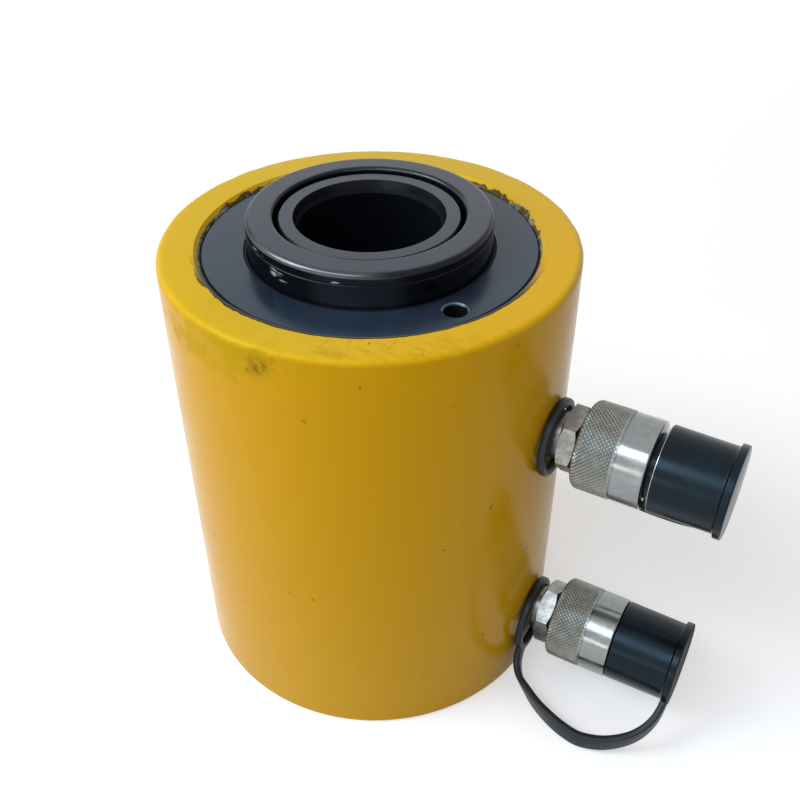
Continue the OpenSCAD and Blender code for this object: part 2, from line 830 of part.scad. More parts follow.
module collar(z) {
    rear_steps = 6;
    rear = [
        for (i = [0:rear_steps])
            let (a = 90 * i / rear_steps)
                [
                    knurl_rear_r + (collar_r - knurl_rear_r) * sin(a),
                    collar_start + knurl_chamfer * (1 - cos(a))
                ]
    ];
    color(steel_colour)
        on_port(z)
            revolve(concat(
                [[collar_bore_r, collar_start]],
                rear,
                [
                    [collar_r, groove_start], [polish_r - groove_w, groove_start],
                    [polish_r - groove_w, groove_start + groove_w],
                    [polish_r, groove_start + groove_w], [polish_r, collar_end - edge_break],
                    [polish_r - edge_break, collar_end], [mouth_r + mouth_edge, collar_end],
                    [mouth_r, collar_end - mouth_edge], [mouth_r, collar_step],
                    [collar_bore_r, collar_step]
                ]
            ));
}

module dust_cap(z, out) {
    rim = cap_home + out;
    end = rim + cap_len;
    tail_r = cap_r - cap_taper / 2;
    soft_edge = 0.5;
    color(rubber_colour)
        on_port(z)
            revolve([
                [core_r, rim - spigot_len], [spigot_r - soft_edge, rim - spigot_len],
                [spigot_r, rim - spigot_len + soft_edge], [spigot_r, rim],
                [cap_r - soft_edge, rim], [cap_r, rim + soft_edge],
                [tail_r, end - cap_flange_t], [cap_flange_r - soft_edge, end - cap_flange_t],
                [cap_flange_r, end - cap_flange_t + soft_edge], [cap_flange_r, end - soft_edge],
                [cap_flange_r - soft_edge, end], [0, end],
                [0, end - cap_flange_t], [core_r, end - cap_flange_t]
            ]);
}

// Oval rubber ring hanging on the neck, with the pull along +X.
module strap_ring(gap, pull) {
    half_l = neck_r + gap + pull / 2;
    translate([0, 0, strap_ring_x])
        linear_extrude(strap_ring_t)
            difference() {
                polygon(oval(half_l + strap_ring_w, ring_half_w + strap_ring_w, pull / 2));
                polygon(oval(half_l, ring_half_w, pull / 2));
            }
}

// The ring, with a flat strap that leaves it at the swing called root and loops over to the
// cap's flange at the swing called swing. The strap's section rolls by mid_roll towards the
// middle of the loop.
module cap_strap(z, out, outward, inward, reach, bulge, ring_swing, gap, pull, root, swing, mid_roll) {
    ring_x = strap_ring_x + strap_ring_t / 2;
    flange_x = cap_home + out + cap_len - cap_flange_t / 2;
    span = flange_x - ring_x;
    root_r = oval_reach(
        neck_r + gap + (pull + strap_ring_w) / 2, ring_half_w + strap_ring_w / 2,
        pull / 2, root - ring_swing
    );
    end_r = cap_flange_r + seat_gap;
    route = concat(
        [for (p = outward) [ring_x + p[0] * span, root_r + p[1] * (reach - root_r)]],
        [
            for (p = inward)
                [ring_x + p[0] * span + p[2] * bulge, end_r + p[1] * (reach - end_r)]
        ]
    );
    last = len(route) - 1;
    bevel = strap_t / 4;
    half_w = strap_w / 2;
    half_t = strap_t / 2;
    section = [
        [half_w, bevel - half_t], [half_w - bevel, -half_t], [bevel - half_w, -half_t],
        [-half_w, bevel - half_t], [-half_w, half_t - bevel], [bevel - half_w, half_t],
        [half_w - bevel, half_t], [half_w, half_t - bevel]
    ];
    sides = len(section);
    points = [
        for (i = [0:last])
            let (
                way = i == 0 ? [0, 1] : i == last ? [0, -1] : route[i + 1] - route[i - 1],
                tangent = way / norm(way),
                roll = mid_roll * pow(sin(180 * i / last), 2),
                turn = (swing - root) * pow(cos(min(90, 180 * i / last)), 2)
            )
                for (q = section)
                    let (
                        across = q[0] * cos(roll) - q[1] * sin(roll),
                        out_of = q[0] * sin(roll) + q[1] * cos(roll),
                        r = route[i][1] + out_of * tangent[0]
                    )
                        [
                            r * cos(turn) - across * sin(turn),
                            r * sin(turn) + across * cos(turn),
                            route[i][0] - out_of * tangent[1]
                        ]
    ];
    color(rubber_colour)
        on_port(z) {
            rotate([0, 0, -ring_swing])
                strap_ring(gap, pull);
            rotate([0, 0, -swing])
                polyhedron(points = points, faces = tube_faces(last + 1, sides));
        }
}

module upper_coupler_body() { coupler_body(upper_port_z, upper_hex_turn); }
module upper_snap_ring() { snap_ring(upper_port_z); }
module upper_nose_o_ring() { nose_o_ring(upper_port_z); }
module upper_spring_retainer() { spring_retainer(upper_port_z); }
module upper_poppet_spring() { poppet_spring(upper_port_z); }
module upper_poppet() { poppet(upper_port_z); }
module upper_collar() { collar(upper_port_z); }
module upper_dust_cap() { dust_cap(upper_port_z, upper_cap_out); }
module upper_cap_strap() {
    cap_strap(
        upper_port_z, upper_cap_out, upper_out, upper_back,
        strap_reach + upper_strap_more, upper_strap_bulge, upper_ring_swing,
        ring_gap + upper_ring_slack, upper_ring_pull, upper_strap_swing, upper_strap_swing, 0
    );
}

module lower_coupler_body() { coupler_body(lower_port_z, lower_hex_turn); }
module lower_snap_ring() { snap_ring(lower_port_z); }
module lower_nose_o_ring() { nose_o_ring(lower_port_z); }
module lower_spring_retainer() { spring_retainer(lower_port_z); }
module lower_poppet_spring() { poppet_spring(lower_port_z); }
module lower_poppet() { poppet(lower_port_z); }
module lower_collar() { collar(lower_port_z); }
module lower_dust_cap() { dust_cap(lower_port_z, 0); }
// The lower strap's section lies level at the middle of its loop.
module lower_cap_strap() {
    level = 90 - lower_strap_swing;
    cap_strap(
        lower_port_z, 0, lower_out, lower_back, strap_reach, lower_strap_bulge,
        lower_ring_swing, ring_gap, lower_ring_pull, lower_ring_swing, lower_strap_swing, level
    );
}

cylinder_body();
centre_tube();
tube_o_ring();
gland_nut();
rod_wiper();
rod_seal();
rod_guide_ring();
gland_o_ring();
gland_backup_ring();
plunger();
saddle();
inner_wiper();
inner_seal();
inner_guide_ring();
piston_seal();
piston_guide_ring();
upper_coupler_body();
upper_snap_ring();
upper_nose_o_ring();
upper_spring_retainer();
upper_poppet_spring();
upper_poppet();
upper_collar();
upper_dust_cap();
upper_cap_strap();
lower_coupler_body();
lower_snap_ring();
lower_nose_o_ring();
lower_spring_retainer();
lower_poppet_spring();
lower_poppet();
lower_collar();
lower_dust_cap();
lower_cap_strap();
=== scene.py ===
"""Looks of a double-acting hollow plunger cylinder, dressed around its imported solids."""

import math

import bmesh
import bpy
from mathutils import Matrix, Vector, noise


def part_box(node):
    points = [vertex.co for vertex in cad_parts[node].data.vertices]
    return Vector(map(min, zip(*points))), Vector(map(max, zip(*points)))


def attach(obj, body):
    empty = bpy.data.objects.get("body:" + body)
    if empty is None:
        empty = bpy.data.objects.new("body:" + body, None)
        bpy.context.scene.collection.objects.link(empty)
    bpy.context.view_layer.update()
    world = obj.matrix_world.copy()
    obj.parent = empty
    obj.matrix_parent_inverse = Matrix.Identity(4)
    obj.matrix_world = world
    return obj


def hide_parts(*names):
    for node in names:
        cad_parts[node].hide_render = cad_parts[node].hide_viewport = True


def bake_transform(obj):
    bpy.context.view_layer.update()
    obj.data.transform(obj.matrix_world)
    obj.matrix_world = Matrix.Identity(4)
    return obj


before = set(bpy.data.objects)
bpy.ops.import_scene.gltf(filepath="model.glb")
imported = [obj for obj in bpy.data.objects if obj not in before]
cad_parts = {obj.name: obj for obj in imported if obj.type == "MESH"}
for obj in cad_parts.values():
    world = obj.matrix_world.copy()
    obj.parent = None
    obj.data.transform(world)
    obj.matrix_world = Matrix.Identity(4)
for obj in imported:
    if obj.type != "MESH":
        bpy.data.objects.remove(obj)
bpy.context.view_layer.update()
MM = 0.001
SIDES = ("upper", "lower")

# Sizes of the barrel, from the frame where a box shows them
BODY_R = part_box("cylinder_body")[1].x
BODY_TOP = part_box("cylinder_body")[1].z
BORE_R = 62 * MM
THREAD_R = 63.5 * MM
THREAD_FOOT = 153 * MM
FLOOR_OF_BORE = 22 * MM
TUBE_SEAT_R = 34.1 * MM
FLANGE_SEAT_R = 39.3 * MM
FLANGE_SEAT_TOP = 9 * MM
RIM_ROUND = 2.5 * MM
RIM_CHAMFER = 2 * MM
FOOT_CHAMFER = 1 * MM
PORT_R = 8.7 * MM
PORT_DEPTH = 12.5 * MM
PASSAGE_R = 4 * MM
BASE_HOLE_R = 7 * MM
BASE_HOLE_DEPTH = 14 * MM
BASE_HOLE_PCD = 130 * MM
BARREL_STEPS = 720
CUTTER_STEPS = 64
CUTTER_SHIFT = 0.5

# The barrel's painted skin, the wear of its rim and the longest stretches of its outline
PAINTED_SKIN = 0.6 * MM
PAINTED_LIP = 2.6 * MM
SIDE_STRETCH = 24 * MM
RIM_STRETCH = 1.1 * MM
RIM_ZONE = 24 * MM
WEAR_DROP = 4 * MM
WEAR_WIDTH = 6 * MM
WEAR_DEPTH = 0.4 * MM
WEAR_SLANT = 0.7
WEAR_LUMPS = 110
WEAR_GRAIN = 320
DENT_R = 6 * MM
DENT_DEPTH = 0.5 * MM

# Sizes of the gland, the plunger and the saddle
GLAND_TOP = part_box("gland_nut")[1].z
SPANNER_PCR = 55.3 * MM
SPANNER_ANGLE = -28
SPANNER_EDGE = 4.65 * MM
ROD_R = 46 * MM
ROD_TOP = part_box("plunger")[1].z
SADDLE_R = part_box("saddle")[1].x
SADDLE_FOOT, SADDLE_TOP = (c.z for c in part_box("saddle"))
SADDLE_BORE_R = 35.6 * MM
SADDLE_SKIRT_R = 38 * MM
SADDLE_ROUND = 2 * MM
SADDLE_MOUTH_ROUND = 1.2 * MM
SADDLE_UNDER_ROUND = 0.25 * MM
SADDLE_SKIRT_ROUND = 0.3 * MM
SADDLE_STEPS = 240

# Sizes of a collar, along its coupler
PORT_Z = {s: sum(c.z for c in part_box(f"{s}_collar")) / 2 for s in SIDES}
COLLAR_START, COLLAR_END = (c.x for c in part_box("lower_collar"))
COLLAR_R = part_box("lower_collar")[1].y
COLLAR_BORE_R = 11.8 * MM
COLLAR_STEP = 101 * MM
KNURL_LEN = 15.5 * MM
KNURL_REAR_R = 14.16 * MM
KNURL_REAR_LEN = 2.7 * MM
KNURL_COLUMNS = 128
KNURL_DEPTH = 0.32 * MM
KNURL_FLAT = 0.3
GROOVE_W = 0.5 * MM
GROOVE_DEPTH = 0.55 * MM
GROOVE_SLOPE = 0.05 * MM
POLISH_R = 17.3 * MM
POLISH_ROUND = 0.5 * MM
EDGE_BREAK = 0.15 * MM
MOUTH_R = 12.8 * MM
MOUTH_CHAMFER = 0.8 * MM
MOUTH_LEAD = 2 * MM
MOUTH_RUNOUT = 4 * MM
MOUTH_TURNS = 5
CREST_DEPTH = 0.35 * MM
CREST_SHARES = (0.35, 0.6)

# Sizes of a dust cap
CAP_LEN = 27.6 * MM
CAP_R = 16.9 * MM
CAP_TAPER = 0.4 * MM
CAP_ROUND = 0.5 * MM
CAP_FILLET = 0.9 * MM
CAP_FLANGE_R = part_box("lower_dust_cap")[1].y
CAP_FLANGE_T = 3 * MM
CAP_FLANGE_ROUND = 0.6 * MM
CAP_FLANGE_BACK = 0.4 * MM
SPIGOT_LEN = 8 * MM
SPIGOT_R = 12.4 * MM
SPIGOT_ROUND = 0.6 * MM
SPIGOT_FILLET = 0.3 * MM
CORE_R = 10.6 * MM
CORE_FILLET = 0.8 * MM
BRIGHT_EDGE_W = 0.6 * MM
DULL_FACE_T = 0.3 * MM
CAP_STEPS = 160

# Sizes of a strap and its ring, with angles in degrees from straight down. Each point of a
# route is a share of the way along the coupler and a share of the way out, or back in, with a
# share of the bulge at the flange.
STRAP_OUT = {
    "upper": [(0, 0), (0, 0.14), (0.02, 0.29), (0.055, 0.465), (0.125, 0.63), (0.22, 0.78),
              (0.335, 0.9), (0.475, 0.975), (0.615, 1)],
    "lower": [(0, 0), (0.004, 0.16), (0.024, 0.33), (0.07, 0.49), (0.146, 0.62), (0.246, 0.77),
              (0.362, 0.89), (0.465, 0.965), (0.575, 1)],
}
STRAP_BACK = {
    "upper": [(0.755, 0.965, 0), (0.868, 0.835, 0.15), (0.955, 0.64, 0.4), (0.996, 0.425, 0.9),
              (1, 0.21, 1), (1, 0, 0)],
    "lower": [(0.683, 0.95, 0), (0.776, 0.855, 0.1), (0.872, 0.695, 0.3), (0.937, 0.515, 0.6),
              (0.979, 0.31, 1), (0.995, 0.13, 1), (1, 0, 0)],
}
STRAP_REACH = {"upper": 47.5 * MM, "lower": 45 * MM}
STRAP_BULGE = {"upper": -2 * MM, "lower": 0}
STRAP_SWING = {"upper": -30, "lower": 57}
STRAP_ROOT = {"upper": -30, "lower": 42}
STRAP_ROLL = {"upper": 0, "lower": 33}
STRAP_W = 8 * MM
STRAP_T = 3 * MM
STRAP_INSET = 0.05 * MM
STRAP_ROUND = 0.9 * MM
STRAP_SINK = 0.6 * MM
STRAP_STEPS = 6
NECK_R = 9.6 * MM
RING_SWING = {"upper": 18, "lower": 42}
RING_PULL = {"upper": 3.2 * MM, "lower": 7.7 * MM}
RING_GAP = {"upper": 1.8 * MM, "lower": 0.6 * MM}
RING_HALF_W = 13 * MM
RING_BAND = 2.8 * MM
RING_START, RING_END = 79.8 * MM, 83 * MM
RING_INNER_ROUND = 0.6 * MM
RING_OUTER_ROUND = 0.9 * MM
RING_STEPS = 120

# Sizes of a valve spring
SPRING_TURNS = 8
SPRING_STEPS = 24
SPRING_WIRE_R = 0.45 * MM
SPRING_WIRE_SIDES = 10


# Mesh helpers

ON_AXIS = 0.001 * MM


def about_z(station, radius, angle):
    """A point at that height, radius and angle about the barrel's axis."""
    return Vector((radius * math.cos(angle), radius * math.sin(angle), station))


def about_port(side):
    """The same about a port's axis, with the station measured along +X."""
    def place(station, radius, angle):
        return Vector((station, radius * math.sin(angle), PORT_Z[side] + radius * math.cos(angle)))
    return place


def rounded(corners, steps=6):
    """A closed outline whose corners are (station, radius, fillet)."""
    outline = []
    for i, (x, y, fillet) in enumerate(corners):
        at = Vector((x, y))
        if not fillet:
            outline.append(at)
            continue
        back = (Vector(corners[i - 1][:2]) - at).normalized()
        on = (Vector(corners[(i + 1) % len(corners)][:2]) - at).normalized()
        half = back.angle(on) / 2
        centre = at + (back + on).normalized() * (fillet / math.sin(half))
        first = at + back * (fillet / math.tan(half)) - centre
        last = at + on * (fillet / math.tan(half)) - centre
        turn = first.angle_signed(last)
        outline += [centre + Matrix.Rotation(-turn * k / steps, 2) @ first for k in range(steps + 1)]
    return outline


def divided(outline, longest, applies):
    """The outline with its long stretches split, where both ends satisfy the test."""
    fine = []
    for a, b in zip(outline, outline[1:] + outline[:1]):
        parts = max(1, math.ceil((b - a).length / longest)) if applies(a) and applies(b) else 1
        fine += [a.lerp(b, k / parts) for k in range(parts)]
    return fine


def braced(outline, near=0.25 * MM):
    """The outline with points close to the ends of its long stretches, so that they shade flat."""
    fine = []
    for a, b in zip(outline, outline[1:] + outline[:1]):
        fine.append(a)
        length = (b - a).length
        if length > 4 * near:
            fine += [a.lerp(b, near / length), a.lerp(b, 1 - near / length)]
    return fine


def spin(outline, place, steps, shift=0.0):
    """Corners and faces of an outline of (station, radius) points, spun about an axis.

    A cutter is shifted by part of a step, so that no corner of it lies on an edge that it cuts.
    """
    verts, rings, faces = [], [], []
    for station, radius in outline:
        if radius < ON_AXIS:
            rings.append([len(verts)] * steps)
            verts.append(place(station, 0, 0))
        else:
            rings.append(list(range(len(verts), len(verts) + steps)))
            verts += [place(station, radius, math.tau * (i + shift) / steps) for i in range(steps)]
    for first, second in zip(rings, rings[1:] + rings[:1]):
        for i in range(steps):
            j = (i + 1) % steps
            face = list(dict.fromkeys((first[i], first[j], second[j], second[i])))
            if len(face) > 2:
                faces.append(face)
    return verts, faces


def sweep(centres, frames, section, loop=False):
    """Corners and faces of a section carried along a line; a frame is two directions."""
    verts, faces = [], []
    sides, count = len(section), len(centres)
    for centre, (across, out) in zip(centres, frames):
        verts += [centre + across * q.x + out * q.y for q in section]
    for i in range(count if loop else count - 1):
        a, b = i * sides, (i + 1) % count * sides
        for j in range(sides):
            k = (j + 1) % sides
            faces.append((a + j, a + k, b + k, b + j))
    if not loop:
        faces.append(tuple(range(sides)))
        faces.append(tuple(range(len(verts) - sides, len(verts))))
    return verts, faces


def solid(name, verts, faces, sharp=35):
    """A closed mesh object, faces outwards, smooth but for edges past an angle in degrees."""
    mesh = bpy.data.meshes.new(name)
    mesh.from_pydata(verts, [], faces)
    work = bmesh.new()
    work.from_mesh(mesh)
    bmesh.ops.recalc_face_normals(work, faces=work.faces)
    work.to_mesh(mesh)
    work.free()
    mesh.shade_smooth()
    mesh.set_sharp_from_angle(angle=math.radians(sharp))
    made = bpy.data.objects.new(name, mesh)
    bpy.context.scene.collection.objects.link(made)
    return made


def combine(made, other, operation, sharp=40):
    """Cuts the other solid out of the first, or joins it on, and removes it."""
    change = made.modifiers.new("combine", "BOOLEAN")
    change.operation = operation
    change.solver = "EXACT"
    change.object = other
    depsgraph = bpy.context.evaluated_depsgraph_get()
    mesh = bpy.data.meshes.new_from_object(made.evaluated_get(depsgraph))
    made.modifiers.clear()
    made.data = mesh
    bpy.data.objects.remove(other)
    mesh.shade_smooth()
    mesh.set_sharp_from_angle(angle=math.radians(sharp))
    return made


def dress(made, slot, *materials):
    """Gives a piece its materials; the slot is not used."""
    made.data.materials.clear()
    for material in materials:
        made.data.materials.append(material)


# Material helpers

class Look:
    """A material's nodes, with a short way to add and join them."""

    def __init__(self, name, **sockets):
        self.material = bpy.data.materials.new(name)
        self.material.use_nodes = True
        self.tree = self.material.node_tree
        self.shader = self.tree.nodes["Principled BSDF"]
        for socket, value in sockets.items():
            self.feed(self.shader, socket.replace("_", " "), value)
        self.place = self.add("TexCoord").outputs["Object"]

    def feed(self, node, socket, value):
        """Sets a socket to a value, or joins it to another node's output."""
        if isinstance(value, bpy.types.NodeSocket):
            self.tree.links.new(value, node.inputs[socket])
        else:
            node.inputs[socket].default_value = value

    def add(self, kind, sockets=(), **settings):
        node = self.tree.nodes.new("ShaderNode" + kind)
        for name, value in settings.items():
            setattr(node, name, value)
        for socket, value in dict(sockets).items():
            self.feed(node, socket, value)
        return node

    def math(self, operation, a, b=0.0):
        return self.add("Math", {0: a, 1: b}, operation=operation).outputs[0]

    def noise(self, scale, detail=3.0, roughness=0.5, at=None):
        """Noise with a number of waves per metre, or along coordinates that are scaled already."""
        node = self.add("TexNoise", {"Vector": at or self.place, "Scale": scale, "Detail": detail,
                                     "Roughness": roughness})
        return node.outputs["Fac"]

    def stretched(self, scale, turn=0):
        """The object's coordinates, turned about the barrel's axis and scaled by axis."""
        return self.add("Mapping", {"Vector": self.place, "Rotation": (0, 0, math.radians(turn)),
                                    "Scale": scale}).outputs[0]

    def band(self, value, low, high, to_low=0.0, to_high=1.0):
        """The value's place between low and high, smoothed, as a number between two others."""
        node = self.add("MapRange", {"Value": value, "From Min": low, "From Max": high,
                                     "To Min": to_low, "To Max": to_high},
                        interpolation_type="SMOOTHSTEP")
        return node.outputs[0]

    def mix(self, share, a, b):
        node = self.add("Mix", {0: share, 6: a, 7: b}, data_type="RGBA")
        return node.outputs[2]

    def xyz(self):
        return self.add("SeparateXYZ", {0: self.place}).outputs

    def radius(self, centre=(0, 0, 0), use=(1, 1, 0)):
        """Distance from a point, with a weight for each axis."""
        away = self.add("VectorMath", {0: self.place, 1: centre}, operation="SUBTRACT").outputs[0]
        kept = self.add("VectorMath", {0: away, 1: use}, operation="MULTIPLY").outputs[0]
        return self.add("VectorMath", {0: kept}, operation="LENGTH").outputs["Value"]

    def toward(self, angle, half, soft):
        """1 within some degrees of a direction about the barrel's axis, fading at the ends."""
        turn = math.radians(angle)
        way = (math.cos(turn), math.sin(turn), 0)
        along = self.add("VectorMath", {0: self.place, 1: way}, operation="DOT_PRODUCT")
        near = self.math("DIVIDE", along.outputs["Value"], self.radius())
        outer, inner = math.radians(half + soft), math.radians(max(0, half - soft))
        return self.band(near, math.cos(outer), math.cos(inner))

    def up(self):
        """How far the surface faces up: 1 on a level top, 0 on an upright side."""
        normal = self.add("NewGeometry").outputs["Normal"]
        return self.add("SeparateXYZ", {0: normal}).outputs["Z"]

    def times(self, *shares):
        total = shares[0]
        for share in shares[1:]:
            total = self.math("MULTIPLY", total, share)
        return total

    def rest(self, share):
        """What a share leaves of 1."""
        return self.math("SUBTRACT", 1, share)

    def uneven(self, tone, roughness, above):
        """Feeds a roughness that follows a tone, from just under a value to some way above it."""
        rough = self.band(tone, 0.3, 0.7, roughness - 0.05, roughness + above)
        self.feed(self.shader, "Roughness", rough)
        return rough

    def bump(self, height, distance, strength):
        """Adds relief on top of the relief so far."""
        node = self.add("Bump", {"Height": height, "Distance": distance, "Strength": strength})
        before = self.shader.inputs["Normal"].links
        if before:
            self.feed(node, "Normal", before[0].from_socket)
        self.feed(self.shader, "Normal", node.outputs[0])


def colour(red, green, blue):
    """A linear colour with its alpha."""
    return (red, green, blue, 1)


def mark_at(height, radius, angle):
    """The place of a mark, with its angle about the barrel's axis in degrees."""
    return tuple(about_z(height, radius, math.radians(angle)))


# Colours of the materials

WHITE = colour(1, 1, 1)
# The top's two colours are painted light: lighter and yellower than the side's
PAINT_TOP_LIT = colour(0.615, 0.385, 0.012)
PAINT_WARM_LIT = colour(0.67, 0.375, 0.009)
PAINT_SIDE = colour(0.555, 0.286, 0.003)
PAINT_PALE = colour(0.64, 0.42, 0.05)
PAINT_SHEEN = colour(1, 0.8, 0.22)
GRIME = colour(0.07, 0.045, 0.014)
SMUDGE = colour(0.13, 0.07, 0.003)
OLIVE = colour(0.40, 0.27, 0.006)
THIN_PAINT = colour(0.50, 0.27, 0.004)
BARE_METAL = colour(0.34, 0.31, 0.25)
WORN_EDGE = colour(0.075, 0.09, 0.105)
DIRT = colour(0.040, 0.028, 0.010)
GLAND_SHADE = colour(0.010, 0.006, 0.003)
RUBBED_STEEL = colour(0.26, 0.27, 0.28)
NICKED_STEEL = colour(0.5, 0.5, 0.5)
SIDE_SHADE_STEEL = colour(0.002, 0.003, 0.005)
PITTED_STEEL = colour(0.12, 0.12, 0.11)

# Marks: their places, sizes and strengths, and the weights of the axes in their distances
STAIN_AT = mark_at(185.5 * MM, BODY_R, -100)
STAIN_SHAPE = (0.36, 0.36, 1)
STAIN_FRINGE = 6 * MM
RUB_AT = mark_at(184.5 * MM, BODY_R, -87)
BLEMISH_AT = mark_at(170 * MM, BODY_R, -40)
SMUDGES = ((RUB_AT, 4.2 * MM, 0.8), (BLEMISH_AT, 1.2 * MM, 0.4))
SMUDGE_SHAPE = (0.75, 0.75, 1)
CHIP_W, KNOCK_W = 0.4 * MM, 1.3 * MM
WORN_WAVE = 0.6 * MM
NICKS = ((mark_at(196.2 * MM, ROD_R, -102), 6 * MM), (mark_at(200.4 * MM, ROD_R, -118), 5 * MM),
         (mark_at(198.9 * MM, ROD_R, -74), 2 * MM))
NICK_SHAPE = (1, 1, 2.2)

# Directions about the barrel's axis, each with half its width and its fading, in degrees
WARM_RIM = (5, 50, 42)
BRUSHED_RIM = (-50, 26, 14)
SCORED_RIM = (-62, 30, 8)
KNOCKS = ((172, 12, 6), (57, 22, 8), (-122, 9, 4))
RAGGED_RIM = (-128, 24, 12)
WORN_RIM = (-64, 66, 14)
DULL_PAINT = (-150, 44, 24)
GLAND_SHADE_FRONT = (-60, 80, 25)
ROD_STRIP = (-65, 16, 10)
ROD_SHADE = (-135, 45, 18)
SADDLE_SHINE = (-90, 30, 14)
SADDLE_GLINT = (86, 46, 16)
SADDLE_SHADE = (98, 58, 26)

# Where a zone fades in or out: distances, radii and heights
STAIN_REACH = (6 * MM, 14 * MM)
BRUSHED_R = (67 * MM, 71 * MM)
CHIPPED_R = (63.9 * MM, 64.2 * MM)
WORN_R = (66.45 * MM, 66.75 * MM)
WORN_DIRT_R = (65.7 * MM, 66 * MM)
GLAND_MARGIN_R = (62.4 * MM, 62.7 * MM)
SPANNER_RUB = (0.08 * MM, 0.22 * MM)
RUBBED_Z = (GLAND_TOP - 0.45 * MM, GLAND_TOP - 0.3 * MM)
SUNK_TOP_Z = (GLAND_TOP - 1 * MM, GLAND_TOP - 0.7 * MM)
SUNK_FOOT_Z = (GLAND_TOP - 8 * MM, GLAND_TOP - 6 * MM)
SEAM_REACH = (0.25 * MM, 0.6 * MM)
HOLE_R = (27.3 * MM, 27.8 * MM)
BORE_SHADE_R = (28 * MM, 34 * MM)
SADDLE_INNER_R = (34.4 * MM, 35 * MM)
SADDLE_SHADE_R = (37.2 * MM, 37.6 * MM)
SADDLE_OUTER_R = (38 * MM, 42 * MM)
ROD_OUTSIDE_R = (44 * MM, 45 * MM)

# How far a surface faces up, from upright to sloping and from nearly level to level
UPRIGHT = (0.1, 0.25)
LEVEL = (0.9, 0.97)


# Materials

def paint():
    """Glossy yellow enamel, with orange peel, smudges, scratches, a worn inner edge and a painted
    lighter top.
    """
    look = Look("yellow_enamel", Specular_Tint=PAINT_SHEEN)
    # Painted light: level faces get a lighter, yellower copy of the paint than upright ones
    on_top = look.band(look.up(), 0.15, 0.9)
    from_axis = look.radius()
    top = look.mix(look.toward(*WARM_RIM), PAINT_TOP_LIT, PAINT_WARM_LIT)
    base = look.mix(on_top, PAINT_SIDE, top)
    base = look.mix(look.band(look.noise(7, 4), 0.5, 0.8, 0, 0.22), base, PAINT_PALE)

    # An olive stain under the front left of the rim, with a smudged, rubbed patch in it
    fringe = look.band(look.noise(110, 5, 0.6), 0.3, 0.7, -STAIN_FRINGE, STAIN_FRINGE)
    spread = look.math("ADD", look.radius(STAIN_AT, STAIN_SHAPE), fringe)
    stain = look.times(look.band(spread, *STAIN_REACH, 1, 0),
                       look.band(look.noise(170, 5, 0.65), 0.38, 0.6, 0.35, 1),
                       look.band(on_top, 0.2, 1, 1, 0.25))
    base = look.mix(look.times(stain, 0.7), base, OLIVE)
    for at, size, share in SMUDGES:
        fringe = look.band(look.noise(260, 4), 0.3, 0.7, -0.7 * size, 0.7 * size)
        ragged = look.math("ADD", look.radius(at, SMUDGE_SHAPE), fringe)
        core = look.band(ragged, size * 0.5, size * 1.4, 1, 0)
        specks = look.band(look.noise(520, 5, 0.65), 0.42, 0.6, 0.15, 1)
        base = look.mix(look.times(core, specks, share), base, SMUDGE)

    # Specks of dirt, and short scratches on the front of the rim
    dots = look.band(look.noise(190, 2), 0.735, 0.765)
    base = look.mix(look.times(dots, 0.6), base, GRIME)
    strokes = look.noise(1, 4, 0.6, at=look.stretched((110, 420, 200), -28))
    brushed = look.times(look.band(strokes, 0.45, 0.7), on_top, look.toward(*BRUSHED_RIM),
                         look.band(from_axis, *BRUSHED_R))
    base = look.mix(look.times(brushed, 0.75), base, THIN_PAINT)
    scratches = look.noise(1, 3, 0.6, at=look.stretched((900, 80, 300), 35))
    scored = look.times(look.band(scratches, 0.64, 0.69), on_top, look.toward(*SCORED_RIM))
    base = look.mix(look.times(scored, 0.3), base, SMUDGE)

    # Paint gone at the inner edge: a thin line all round, wider where it was knocked
    knocked = look.toward(*KNOCKS[0])
    for knock in KNOCKS[1:]:
        knocked = look.math("MAXIMUM", knocked, look.toward(*knock))
    wave = look.times(look.band(look.noise(190, 5, 0.65), 0.36, 0.68),
                      look.band(knocked, 0, 1, CHIP_W, KNOCK_W))
    chipped = look.band(look.math("SUBTRACT", from_axis, wave), *CHIPPED_R, 1, 0)
    under = look.mix(look.band(look.noise(330, 4), 0.48, 0.66, 0, 0.7), GRIME, BARE_METAL)
    base = look.mix(chipped, base, under)

    # A worn, dirty band along the front of the inner edge, ragged on the left
    ragged = look.times(look.band(look.noise(210, 5, 0.65), 0.3, 0.7, -WORN_WAVE, WORN_WAVE),
                        look.band(look.toward(*RAGGED_RIM), 0, 1, 0.22, 1))
    worn = look.times(look.band(look.math("SUBTRACT", from_axis, ragged), *WORN_R, 1, 0),
                      look.toward(*WORN_RIM), on_top)
    base = look.mix(worn, base, look.mix(look.band(from_axis, *WORN_DIRT_R), WORN_EDGE, DIRT))
    look.feed(look.shader, "Base Color", base)

    # Less sheen on the stain and on the barrel's left
    sheen = look.times(look.band(stain, 0, 1, 0.13, 0.05),
                       look.band(look.toward(*DULL_PAINT), 0, 1, 1, 0.55))
    look.feed(look.shader, "Specular IOR Level", sheen)
    rough = look.band(look.noise(40, 4), 0.3, 0.7, 0.16, 0.26)
    look.feed(look.shader, "Roughness", look.math("ADD", rough, look.times(stain, 0.2)))
    look.bump(look.noise(900, 2), 0.02 * MM, 0.25)
    look.bump(look.noise(60, 3), 0.25 * MM, 0.22)
    look.bump(brushed, 0.16 * MM, -0.5)
    look.bump(scored, 0.05 * MM, -0.5)
    return look.material


